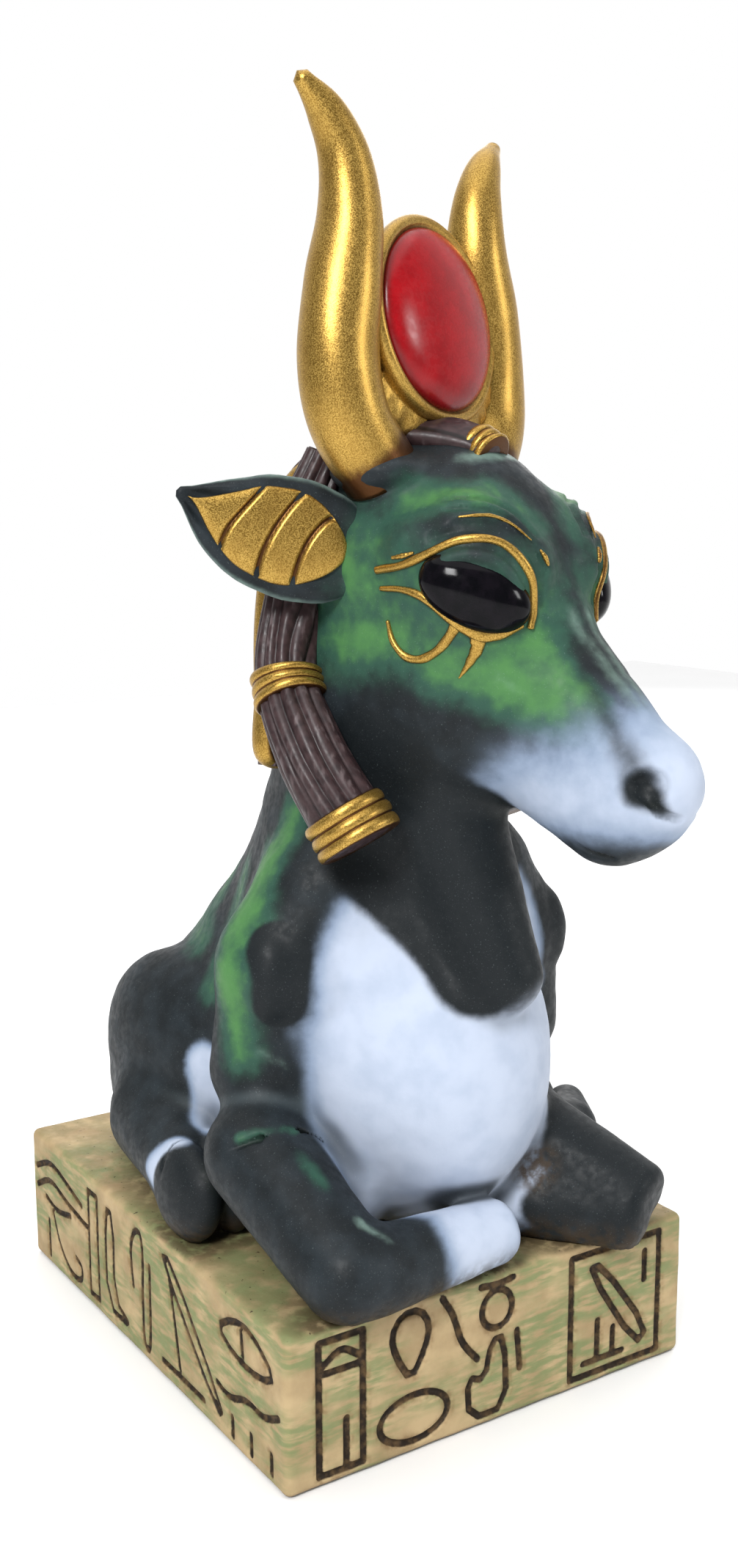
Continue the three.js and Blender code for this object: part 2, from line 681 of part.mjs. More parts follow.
// The strokes of each face, in its own plane from its lower left corner. They stand for an inscription and
// spell nothing.
const FRONT_STROKES = [
  frame(5.5, 1.8, 12.8, 22),
  open([6, 17.2], [12.4, 17.2]),
  open([6.2, 18.4], [9.2, 20.6], [12.2, 18.4]),
  upright(10, 2.4, 9.4),
  loop([21, 11.6], [23.6, 16], [24.4, 19.4], [22.6, 22.2], [19.4, 22.2], [17.6, 19.4], [18.4, 16]),
  oval(21.6, 5.6, 6, 3.6, 12),
  open([26.6, 22.6], [28.6, 19.6], [30, 14.6], [33, 11.2]),
  oval(36.6, 18.2, 2.8, 3, 10),
  open([33.6, 22.4], [36.6, 22], [39.6, 22.4]),
  loop([38.6, 1.8], [38, 13.4], [35.6, 13.4], [34.4, 7.4], [31.2, 8.6], [31.6, 1.8]),
  open([40.4, 13.6], [41, 7.4]),
  frame(51, 1.8, 69, 22),
  loop([64.6, 3.8], [67, 6], [57, 19.6], [54.4, 19.4]),
  open([53.6, 3.8], [61.6, 3.8]),
  upright(56.4, 4.2, 10.4),
  upright(59.6, 4.2, 8.4),
  open([66, 19.4], [66, 14.6]),
];
const SIDE_STROKES = [
  open([2, 17.4], [8, 20.2], [14, 19.2], [22, 17]),
  open([2, 13.8], [8, 17], [15, 15.2], [24, 14]),
  open([6, 12.8], [11, 11.6], [17, 13.2]),
  upright(7, 2, 8.6),
  open([9, 11], [11.6, 5.6], [16.4, 2.2], [21, 2.4], [21.6, 5.4], [19, 6.2]),
  frame(25, 2.4, 28.6, 21),
  loop([41.6, 3], [35, 5.4], [35, 20.4], [32, 20.4], [32, 3]),
  open([42.6, 11.2], [41.6, 17.4], [43.4, 21.4], [46.6, 21.2], [46, 9], [46.2, 2.2], [48.8, 2.2], [48.8, 17]),
  loop([71.4, 3], [73, 4.4], [56.4, 21.2], [53, 20.6]),
  open([56, 17.4], [57.6, 11.4], [59, 4.2]),
  open([53, 3], [67, 3]),
  loop([77.4, 14.8], [84.6, 14.8], [88.8, 16.8], [82, 21], [76.4, 20.4], [71.6, 17.4]),
  open([79, 19.6], [79.4, 16]),
  open([71.4, 8.2], [75.4, 7.4], [80.4, 9.8], [85.4, 9.2], [89.6, 11.4]),
  upright(76, 1.8, 4.8),
  upright(81.6, 1.8, 4.8),
  upright(87.4, 1.8, 4.8),
];
// The faces that are seen less carry fewer and plainer strokes.
const PLAIN_STROKES = [
  frame(5.5, 2.4, 12, 21.6),
  oval(21, 16, 4.6, 3.6, 10),
  open([16, 6.4], [20, 8.4], [24, 6.4], [28, 8.4]),
  upright(33, 3, 21),
  open([38, 20], [44, 4]),
  open([44, 20], [50, 4]),
  frame(55, 4, 66, 20),
];

function cutStrokes(block, strokes, place) {
  for (const stroke of strokes) {
    const cutter = groove(stroke).translate(0, 0, -STROKE_DEPTH).applyMatrix4(place);
    block = block.subtract(solid(cutter));
  }
  return block;
}

// The frame of a face: its lower left corner, the way along it, up, and out of it.
function faceFrame(turn, wide, deep) {
  const along = ACROSS.clone().applyAxisAngle(UP, turn);
  const out = AHEAD.clone().negate().applyAxisAngle(UP, turn);
  const corner = along.clone().multiplyScalar(-wide / 2).addScaledVector(out, deep / 2);
  return new THREE.Matrix4().makeBasis(along, UP, out).setPosition(corner);
}

function plinth() {
  const half = [PLINTH_WIDTH / 2, PLINTH_LENGTH / 2];
  const r = PLINTH_CORNER;
  const outline = new THREE.Shape();
  outline.moveTo(-half[0] + r, -half[1]);
  outline.lineTo(half[0] - r, -half[1]);
  outline.absarc(half[0] - r, -half[1] + r, r, -Math.PI / 2, 0);
  outline.absarc(half[0] - r, half[1] - r, r, 0, Math.PI / 2);
  outline.absarc(-half[0] + r, half[1] - r, r, Math.PI / 2, Math.PI);
  outline.absarc(-half[0] + r, -half[1] + r, r, Math.PI, 1.5 * Math.PI);
  const slab = new THREE.ExtrudeGeometry(outline, {
    depth: PLINTH_HEIGHT - 2 * PLINTH_EDGE,
    bevelThickness: PLINTH_EDGE,
    bevelSize: PLINTH_EDGE,
    bevelOffset: -PLINTH_EDGE,
    bevelSegments: 1,
    curveSegments: 2,
  });
  let block = solid(slab.translate(0, 0, PLINTH_EDGE));
  block = cutStrokes(block, FRONT_STROKES, faceFrame(0, PLINTH_WIDTH, PLINTH_LENGTH));
  block = cutStrokes(block, SIDE_STROKES, faceFrame(-Math.PI / 2, PLINTH_LENGTH, PLINTH_WIDTH));
  block = cutStrokes(block, PLAIN_STROKES, faceFrame(Math.PI, PLINTH_WIDTH, PLINTH_LENGTH));
  block = cutStrokes(block, PLAIN_STROKES, faceFrame(Math.PI / 2, PLINTH_LENGTH, PLINTH_WIDTH));
  return geometryFrom(block);
}

const figurine = new THREE.Group();
const paint = new THREE.MeshStandardMaterial({ color: 0x3f5f56, roughness: 0.55, metalness: 0 });
const sand = new THREE.MeshStandardMaterial({ color: 0xc2a878, roughness: 0.85, metalness: 0 });
for (const [name, geometry, material] of [
  ["cow", cow(), paint],
  ["plinth", plinth(), sand],
]) {
  const mesh = new THREE.Mesh(geometry, material);
  mesh.name = name;
  figurine.add(mesh);
}

export default figurine;
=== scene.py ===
import math

import bpy
import numpy as np
from mathutils import Matrix, Vector


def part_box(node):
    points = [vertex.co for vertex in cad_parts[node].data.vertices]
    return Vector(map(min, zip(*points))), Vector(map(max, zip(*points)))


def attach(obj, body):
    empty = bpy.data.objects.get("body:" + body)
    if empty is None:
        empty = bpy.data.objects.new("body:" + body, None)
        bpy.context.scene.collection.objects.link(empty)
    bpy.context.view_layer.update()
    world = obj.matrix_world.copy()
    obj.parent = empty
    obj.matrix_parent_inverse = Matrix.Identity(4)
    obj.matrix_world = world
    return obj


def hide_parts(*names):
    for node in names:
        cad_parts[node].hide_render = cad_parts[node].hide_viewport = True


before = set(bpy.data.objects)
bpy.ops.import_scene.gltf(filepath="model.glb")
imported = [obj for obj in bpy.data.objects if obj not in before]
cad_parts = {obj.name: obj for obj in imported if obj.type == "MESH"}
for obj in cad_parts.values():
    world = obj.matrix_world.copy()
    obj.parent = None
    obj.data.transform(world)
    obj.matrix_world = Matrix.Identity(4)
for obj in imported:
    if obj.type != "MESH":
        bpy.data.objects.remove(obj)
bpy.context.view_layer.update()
MM = 0.001
PLINTH_LOW, PLINTH_HIGH = (np.array(corner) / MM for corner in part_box("plinth"))
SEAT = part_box("cow")[0][2] / MM

# Camera, worked out from the photograph's perspective
IMAGE_HEIGHT = 2138
FOCAL_PIXELS = 2204.69
SENSOR = 36
CAMERA_PLACE = (-138.33, -222.31, 137.05)
CAMERA_AZIMUTH = -33.18
CAMERA_PITCH = 10.04
CAMERA_ROLL = -0.19

# Light
ROOM_LIGHT = 0.22
BACKDROP_LIGHT = 1.0

# Skin
HIDE_STEP = 0.5
HIDE_TRIANGLES = 190000
PLINTH_STEP = 0.42
PLINTH_TRIANGLES = 150000
BLOCK = 4  # samples along the side of a block that is passed over in one go when no skin is near
REACH = 7  # how many samples away a block's middle may lie from the skin
CHUNK = 120000
STUMP_EDGE = 2.4  # how wide the edge of a square end is rounded
CREASE = 1.4  # how far out a point looks for a neighbouring surface

# Head
HEAD_TURN = math.radians(18)
NECK_Y = -22

UP = np.array([0, 0, 1.0])
AHEAD = np.array([0, 1.0, 0])
ACROSS = np.array([1.0, 0, 0])


def length(v):
    return np.sqrt((v * v).sum(-1))


def unit(v):
    return v / np.maximum(length(v), 1e-9)[..., None]


def smooth(t):
    t = np.clip(t, 0, 1)
    return t * t * (3 - 2 * t)


# Forms: each is the width over which it melts into its neighbours, and a signed distance


def limb(a, ra, b, rb, blend):
    """A limb with round ends and its own radius at each end."""
    a = np.array(a, float)
    way = np.array(b, float) - a

    def distance(p):
        out = p - a
        t = np.clip(out @ way / (way @ way), 0, 1)
        return length(out - t[:, None] * way) - ra - (rb - ra) * t

    return blend, distance


def stump(a, ra, b, rb, blend):
    """A limb cut off square at its far end, with a soft edge."""
    way = unit(np.array(b, float) - a)
    _, whole = limb(a, ra, np.array(b) + rb * way, rb, blend)

    def distance(p):
        v = whole(p)
        w = (p - b) @ way
        h = np.maximum(STUMP_EDGE - np.abs(v - w), 0) / STUMP_EDGE
        return np.maximum(v, w) + h * h * STUMP_EDGE / 4

    return blend, distance


def egg(centre, radii, blend, pitch=0):
    """An egg, its radii along X, Y and Z before it is pitched about X, nose down for a positive angle."""
    centre = np.array(centre, float)
    radii = np.array(radii, float)
    c = math.cos(math.radians(pitch))
    s = math.sin(math.radians(pitch))
    turn = np.array([[1, 0, 0], [0, c, s], [0, -s, c]])

    def distance(p):
        q = (p - centre) @ turn / radii
        k0 = length(q)
        k1 = length(q / radii)
        return np.where(k1 < 1e-6, -radii.min(), k0 * (k0 - 1) / np.maximum(k1, 1e-6))

    return blend, distance


def join(d, form, p):
    blend, distance = form
    v = distance(p)
    h = np.maximum(blend - np.abs(d - v), 0) / blend
    return np.minimum(d, v) - h * h * blend / 4


def carve(d, form, p):
    return -join(-d, form, p)


def chain(places, radius, blend):
    """Thin limbs end to end, for a groove or a ridge."""
    return [limb(a, radius, b, radius, blend) for a, b in zip(places, places[1:])]


# The cow's body
TRUNK = [
    egg([0, 5, 47], [26, 32, 23], 8),
    egg([0, -20, 52], [21.5, 26, 28], 10),
    limb([0, -10, 63], 20, [0, 22, 46], 17, 10),
    egg([0, 27, 41], [22, 16, 15], 8),
    limb([0, -4.6, 86], 12.4, [0, 6.6, 65.5], 15.8, 8),
    limb([0, -15, 77], 19, [0, -17, 104], 16, 10),
    limb([-0.5, -32.5, 91], 8.5, [2.5, -43, 68.5], 5.5, 4),
]
PAIR = [
    limb([15, -19, 78], 9, [20.6, -18, 68], 9.5, 5),
    limb([20.6, -18, 68], 9.2, [22.8, -17, 52], 8.7, 3),
    egg([25.4, -22.8, 67.6], [4.2, 4.4, 7], 1),
    egg([22, 16.5, 44.8], [9.2, 18, 16.5], 5),
    limb([26, 13, 35], 9, [30, -3, 33], 6.5, 4),
    limb([17, -10, 33], 8.5, [18, -26, 33.5], 8, 5),
    egg([18.5, 24, 33], [9.5, 14, 11], 5),
    egg([33, -9.5, 31.5], [4.2, 8.5, 7.8], 1),
    egg([26.6, -9.5, 31.5], [4.2, 8.5, 7.8], 1),
]
FORELEGS = [
    limb([-28.3, -24, 41.5], 8.2, [-26.6, -45.6, 31.2], 7, 4),
    stump([-21, -46, 30.4], 6.1, [2.6, -43.3, 29.3], 4.5, 2.5),
    stump([16.6, -29, 37.2], 7.9, [25.2, -50.2, 29.4], 5.7, 4),
    limb([13, -36, 28.5], 6, [20.6, -47.6, 27.8], 4.4, 4),
    limb([30.6, -24, 36.4], 3.4, [26.6, -30, 35.6], 4.3, 3),
]
TAIL = [
    limb([0, 40, 50], 2.4, [3, 41.5, 38], 2.2, 3),
    limb([3, 41.5, 38], 2.2, [14, 41.5, 29], 2.2, 2),
    egg([20, 40, 29.4], [7, 3, 3.8], 2),
]
# Creases in the resin, on both sides of the body
BODY_CREASES = [
    *chain([[29.8, -17, 29], [29.8, -17.5, 33], [29.8, -13, 38.6], [30, -9, 39.4]], 0.5, 0.8),
    *chain([[38, -8, 29], [37.4, -8, 34], [34, -7.4, 38.8], [30, -8, 39.6]], 0.3, 0.5),
    *chain([[36, -27, 44.5], [31.5, -29.6, 46.4], [25, -30, 46]], 0.45, 0.6),
    *chain([[25, -30, 46], [21.5, -29.5, 43.5]], 0.5, 0.6),
]

# The head, in its own frame: across to the cow's left, ahead, and up
SKULL = [
    limb([0, -4, 108], 15, [0, 2, 126], 16, 10),
    egg([0, 7, 129], [15.5, 17.5, 16.3], 8),
    limb([0, 16, 120.5], 12.8, [0, 30, 106.8], 7.4, 8),
    limb([0, 30, 106.8], 7.4, [0, 40.3, 98.1], 8.3, 6),
    limb([0, 15, 107], 9, [0, 35, 93.8], 7.3, 6),
]
FACE = [
    egg([7, 10, 110], [9, 15, 14], 7, 20),
    egg([9.3, 17, 127], [8.3, 9.5, 9.5], 5),
    limb([16, 12, 131], 2, [12, 18.5, 133.3], 2.2, 4),
    limb([12, 18.5, 133.3], 2.2, [6.5, 25.5, 128], 2.4, 4),
    egg([11, 3.6, 140.5], [7.4, 7.4, 3.4], 2),
]
NOSTRILS = [egg([7, 45, 99.5], [2.4, 2.6, 2], 1.5)]
NOSE_CREASES = [
    *chain([[6.6, 43.6, 98.4], [5.6, 46, 95.8], [2.4, 47.6, 94.4]], 0.5, 0.8),
    *chain([[8.4, 30, 91.5], [6.4, 34, 89.8], [4.6, 38.5, 88.6]], 0.3, 0.6),
]

# The plane of the eye: towards the nose, up, and out from the head
EYE_CENTRE = np.array([15.4, 23, 124.4])
EYE_OUT = np.array([0.77, 0.64, 0])
EYE_NOSEWARD = np.array([-0.64, 0.77, 0])
EYE_SLANT = math.radians(25)
EYE_RADII = (8.1, 5.1, 3.9)
EYE_SET = 2.4


def into_head(p):
    c = math.cos(HEAD_TURN)
    s = math.sin(HEAD_TURN)
    x, y = p[:, 0], p[:, 1] - NECK_Y
    return np.stack([x * c + y * s, x * s - y * c, p[:, 2]], 1)


def out_of_head(p, side=1):
    c = math.cos(HEAD_TURN)
    s = math.sin(HEAD_TURN)
    across, ahead = side * p[:, 0], p[:, 1]
    return np.stack([across * c + ahead * s, NECK_Y + across * s - ahead * c, p[:, 2]], 1)


def one_side(p):
    return p * [0, 1, 1] + np.abs(p) * [1, 0, 0]


def head_field(p, d):
    both = one_side(p)
    for form in SKULL:
        d = join(d, form, p)
    for form in FACE:
        d = join(d, form, both)
    for form in NOSTRILS:
        d = carve(d, form, both)
    return d


def cow_field(p):
    d = np.full(len(p), 1e3)
    both = one_side(p)
    for form in TRUNK:
        d = join(d, form, p)
    for form in PAIR:
        d = join(d, form, both)
    for form in [*FORELEGS, *TAIL]:
        d = join(d, form, p)
    return np.maximum(head_field(into_head(p), d), SEAT - p[:, 2])


def on_cheek(noseward, up, lift=0.0):
    """The place on the skin of the head that lies under a place of the eye's plane."""
    noseward, up = np.atleast_1d(noseward), np.atleast_1d(up)
    p = EYE_CENTRE + noseward[:, None] * EYE_NOSEWARD + up[:, None] * UP + 8 * EYE_OUT
    for _ in range(60):
        d = head_field(p, np.full(len(p), 1e3)) - lift
        p = p - 0.8 * d[:, None] * EYE_OUT
    return p


# Folds over the eye and the lid round it, in the eye's plane
BROW_FOLDS = [
    [(-3.6, 12.6), (1.5, 12.8), (5.6, 10.9), (8.6, 7.6)],
    [(-4, 11.2), (1, 11.5), (5, 10), (8.3, 6.6), (9.6, 3)],
    [(-3, 9.2), (1.5, 9.6), (5, 8.4), (8, 5.6), (9.2, 1.6)],
    [(-6, 7.4), (-1.5, 8.7), (3.4, 8.2), (7, 6), (8.9, 2.6), (9.3, -2)],
]
LID = [(-6.8, 2.4), (-4, 4.6), (-0.8, 5.3), (2.6, 4.4), (5.2, 1.8), (6.5, -1.6), (6.4, -4)]
FOLD_RADIUS = 0.48
LID_RADIUS = 0.5


def eye_relief():
    folds = []
    for places in BROW_FOLDS:
        bent = rounded(np.array(places, float), 2)
        folds += chain(on_cheek(bent[:, 0], bent[:, 1]), FOLD_RADIUS, 0.5)
    bent = rounded(np.array(LID, float), 2)
    lid = chain(on_cheek(bent[:, 0], bent[:, 1]), LID_RADIUS, 0.8)
    return folds, lid


def rounded(places, times, closed=False):
    """Cuts the corners of a line of places, to bend it."""
    for _ in range(times):
        after = np.roll(places, -1, 0) if closed else places[1:]
        before = places if closed else places[:-1]
        early = 0.75 * before + 0.25 * after
        late = 0.25 * before + 0.75 * after
        cut = np.stack([early, late], 1).reshape(-1, places.shape[1])
        places = cut if closed else np.concatenate([places[:1], cut[1:-1], places[-1:]])
    return places


def waves(p, size):
    """A slow unevenness between -1 and 1, the same each run."""
    x, y, z = p.T / size
    first = np.sin(x + 1.7 * np.sin(y + 0.6))
    second = np.sin(1.3 * y + 1.4 * np.sin(z))
    third = np.sin(1.1 * z + 1.9 * np.sin(x))
    return (first + second + third) / 3


def hide_field(p):
    """The cow's body and head with their fine relief."""
    d = cow_field(p) + 0.09 * waves(p, 2.6) + 0.05 * waves(p[:, [1, 2, 0]], 0.9)
    both = one_side(p)
    for form in BODY_CREASES:
        d = carve(d, form, both)
    head = one_side(into_head(p))
    near_head = p[:, 2] > 86
    q, e = head[near_head], d[near_head]
    for form in NOSE_CREASES:
        e = carve(e, form, q)
    near_eye = length(q - EYE_CENTRE) < 18
    r, f = q[near_eye], e[near_eye]
    folds, lid = EYE_RELIEF
    for form in lid:
        f = join(f, form, r)
    for form in folds:
        f = carve(f, form, r)
    e[near_eye] = f
    d[near_head] = e
    return np.maximum(d, SEAT - p[:, 2])


EYE_RELIEF = eye_relief()


# Drawing a skin


def in_chunks(field, p):
    return np.concatenate([field(p[i : i + CHUNK]) for i in range(0, len(p), CHUNK)])


def sample(field, low, size, step):
    """Samples a field on a grid, exactly where the skin is near and in blocks elsewhere."""
    middles = [low[i] + step * (BLOCK * np.arange(size[i]) + (BLOCK - 1) / 2) for i in range(3)]
    centres = np.stack(np.meshgrid(*middles, indexing="ij"), -1).reshape(-1, 3)
    coarse = in_chunks(field, centres).astype(np.float32).reshape(size)
    value = coarse.repeat(BLOCK, 0).repeat(BLOCK, 1).repeat(BLOCK, 2)
    near = np.argwhere(np.abs(coarse) < REACH * step)
    inner = np.argwhere(np.ones((BLOCK, BLOCK, BLOCK), bool))
    for part in np.array_split(near, max(1, len(near) * len(inner) // CHUNK)):
        places = (part[:, None] * BLOCK + inner).reshape(-1, 3)
        value[tuple(places.T)] = field(low + step * places)
    return value


def skin(field, low, high, step):
    """A closed skin of quads where the field changes sign: a point in each mixed cell, a quad across each
    mixed edge."""
    low, high = np.array(low, float), np.array(high, float)
    size = np.ceil((high - low) / (step * BLOCK)).astype(int)
    value = sample(field, low, size, step)
    inside = value < 0
    cells = [slice(None, -1), slice(1, None)]
    corners = [(a, b, c) for a in (0, 1) for b in (0, 1) for c in (0, 1)]
    count = sum(inside[cells[a], cells[b], cells[c]].astype(np.int8) for a, b, c in corners)
    mixed = (count > 0) & (count < len(corners))
    place = np.argwhere(mixed)
    number = np.full(mixed.shape, -1, np.int32)
    number[mixed] = np.arange(len(place))
    total = np.zeros((len(place), 3))
    crossings = np.zeros(len(place))
    for corner in corners:
        for axis in range(3):
            if corner[axis]:
                continue
            step_on = np.eye(3, dtype=int)[axis]
            va = value[tuple((place + corner).T)]
            vb = value[tuple((place + corner + step_on).T)]
            crossed = (va < 0) != (vb < 0)
            t = va[crossed] / (va[crossed] - vb[crossed])
            total[crossed] += np.array(corner) + t[:, None] * step_on
            crossings += crossed
    points = low + step * (place + total / crossings[:, None])
    quads = []
    for axis in range(3):
        ahead = [slice(1, -1)] * 3
        here = inside[1:-1, 1:-1, 1:-1]
        ahead[axis] = slice(2, None)
        there = inside[tuple(ahead)]
        edge = np.argwhere(here != there) + 1
        u = np.eye(3, dtype=int)[(axis + 1) % 3]
        v = np.eye(3, dtype=int)[(axis + 2) % 3]
        quad = np.stack([number[tuple(q.T)] for q in (edge, edge - u, edge - u - v, edge - v)], 1)
        turned = ~inside[tuple(edge.T)]
        quad[turned] = quad[turned][:, ::-1]
        quads.append(quad)
    return onto(field, points, step), np.concatenate(quads)


def slope(field, points, reach):
    """The way out of the form at each point, from four samples round it, and the mean of them."""
    ways = np.array([[1, 1, 1], [1, -1, -1], [-1, 1, -1], [-1, -1, 1]], float)
    values = [in_chunks(field, points + reach * way) for way in ways]
    way_out = sum(v[:, None] * way for v, way in zip(values, ways)) / (4 * reach)
    return way_out, sum(values) / 4


def onto(field, points, step):
    """Moves points a little way, onto the skin."""
    way_out, middle = slope(field, points, step / 4)
    steepness = np.maximum(length(way_out), 0.3)
    move = np.clip(middle / steepness, -step / 2, step / 2)
    return points - move[:, None] * unit(way_out)


# Meshes


def mesh_of(name, points, faces):
    mesh = bpy.data.meshes.new(name)
    mesh.from_pydata((np.asarray(points) * MM).tolist(), [], [tuple(map(int, f)) for f in faces])
    mesh.shade_smooth()
    return mesh


def piece(name, mesh, material, slot="painted_resin", **marks):
    """A piece of the scene, with its marks: numbers at its points that its material reads."""
    for key, values in marks.items():
        mesh.attributes.new(key, "FLOAT", "POINT").data.foreach_set("value", np.asarray(values, np.float32))
    mesh.materials.append(material)
    obj = bpy.data.objects.new(name, mesh)
    bpy.context.scene.collection.objects.link(obj)
    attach(obj, "root")
    return obj


def fewer(name, mesh, triangles):
    """The mesh with its flatter stretches in larger faces."""
    obj = bpy.data.objects.new(name + "_raw", mesh)
    bpy.context.scene.collection.objects.link(obj)
    modifier = obj.modifiers.new("fewer", "DECIMATE")
    modifier.ratio = min(1, triangles / (2 * len(mesh.polygons)))
    evaluated = obj.evaluated_get(bpy.context.evaluated_depsgraph_get())
    result = bpy.data.meshes.new_from_object(evaluated)
    bpy.data.objects.remove(obj)
    result.name = name
    result.shade_smooth()
    return result


def points_of(mesh):
    flat = np.zeros(3 * len(mesh.vertices))
    mesh.vertices.foreach_get("co", flat)
    return flat.reshape(-1, 3) / MM


# Curves


def through(places, t):
    """Points on the smooth curve through places, at parameters from 0 to 1."""
    places = np.array(places, float)
    ends = [2 * places[0] - places[1]], [2 * places[-1] - places[-2]]
    p = np.concatenate([ends[0], places, ends[1]])
    at = np.clip(np.asarray(t, float), 0, 1) * (len(places) - 1)
    i = np.minimum(at.astype(int), len(places) - 2)
    w = (at - i)[:, None]
    p0, p1, p2, p3 = (p[i + k] for k in range(4))
    dt0, dt1, dt2 = (np.sqrt(length(b - a))[:, None] for a, b in ((p0, p1), (p1, p2), (p2, p3)))
    m1 = ((p1 - p0) / dt0 - (p2 - p0) / (dt0 + dt1) + (p2 - p1) / dt1) * dt1
    m2 = ((p2 - p1) / dt1 - (p3 - p1) / (dt1 + dt2) + (p3 - p2) / dt2) * dt1
    return (
        p1 * (2 * w**3 - 3 * w**2 + 1) + m1 * (w**3 - 2 * w**2 + w)
        + p2 * (3 * w**2 - 2 * w**3) + m2 * (w**3 - w**2)
    )


def eased(values, t):
    """A value that runs smoothly through evenly spaced steps."""
    steps = np.linspace(0, 1, len(values))
    soft = 0.25 / (len(values) - 1)
    before = np.interp(t - soft, steps, values)
    here = np.interp(t, steps, values)
    after = np.interp(t + soft, steps, values)
    return (before + 2 * here + after) / 4


def evenly(places, share):
    """Parameters of the curve at shares of its length."""
    t = np.linspace(0, 1, 600)
    run = np.concatenate([[0], np.cumsum(length(np.diff(through(places, t), axis=0)))])
    return np.interp(share, run / run[-1], t)


def loft(places, t, sides, up, section, caps=(0.0, 0.0)):
    """A closed form along a curve. section(t, angle) gives how far its skin stands across and along "up", and
    caps how far its ends bulge. Returns its points, its faces and t and the angle at each point."""
    t = np.asarray(t, float)
    reach = 1e-3
    centre = through(places, t)
    way = unit(through(places, t + reach) - through(places, t - reach))
    across = unit(np.cross(up, way))
    raised = np.cross(way, across)
    angle = 2 * np.pi * np.arange(sides) / sides
    tt, aa = np.meshgrid(t, angle, indexing="ij")
    a, b = section(tt, aa)
    points = centre[:, None] + a[..., None] * across[:, None] + b[..., None] * raised[:, None]
    rings = len(t)
    j = np.arange(sides)
    quads = []
    for i in range(rings - 1):
        low, high = i * sides, (i + 1) * sides
        quads += np.stack([low + j, low + (j + 1) % sides, high + (j + 1) % sides, high + j], 1).tolist()
    points = points.reshape(-1, 3)
    for ring, end, bulge in ((0, 0, -caps[0]), (rings - 1, -1, caps[1])):
        n = len(points)
        points = np.vstack([points, centre[end] + bulge * way[end]])
        a, b = ring * sides + j, ring * sides + (j + 1) % sides
        quads += [[y, x, n] if end == 0 else [x, y, n] for x, y in zip(a.tolist(), b.tolist())]
    marks_t = np.append(tt.reshape(-1), [t[0], t[-1]])
    marks_a = np.append(aa.reshape(-1), [0, 0])
    return points, quads, marks_t, marks_a


def round_section(radius, angle):
    return radius * np.cos(angle), radius * np.sin(angle)


def together(parts):
    """Several lofts as one: points, faces and their marks."""
    points, faces, marks, start = [], [], [], 0
    for p, f, m in parts:
        points.append(p)
        faces += [[n + start for n in face] for face in f]
        marks.append(m)
        start += len(p)
    return np.concatenate(points), faces, np.concatenate(marks)


def on_head(points, faces, side):
    """Places a form drawn in the head's frame on the turned head: as drawn, or mirrored for side -1."""
    return out_of_head(points, side), [face[::-1] for face in faces] if side > 0 else faces


# Finishes


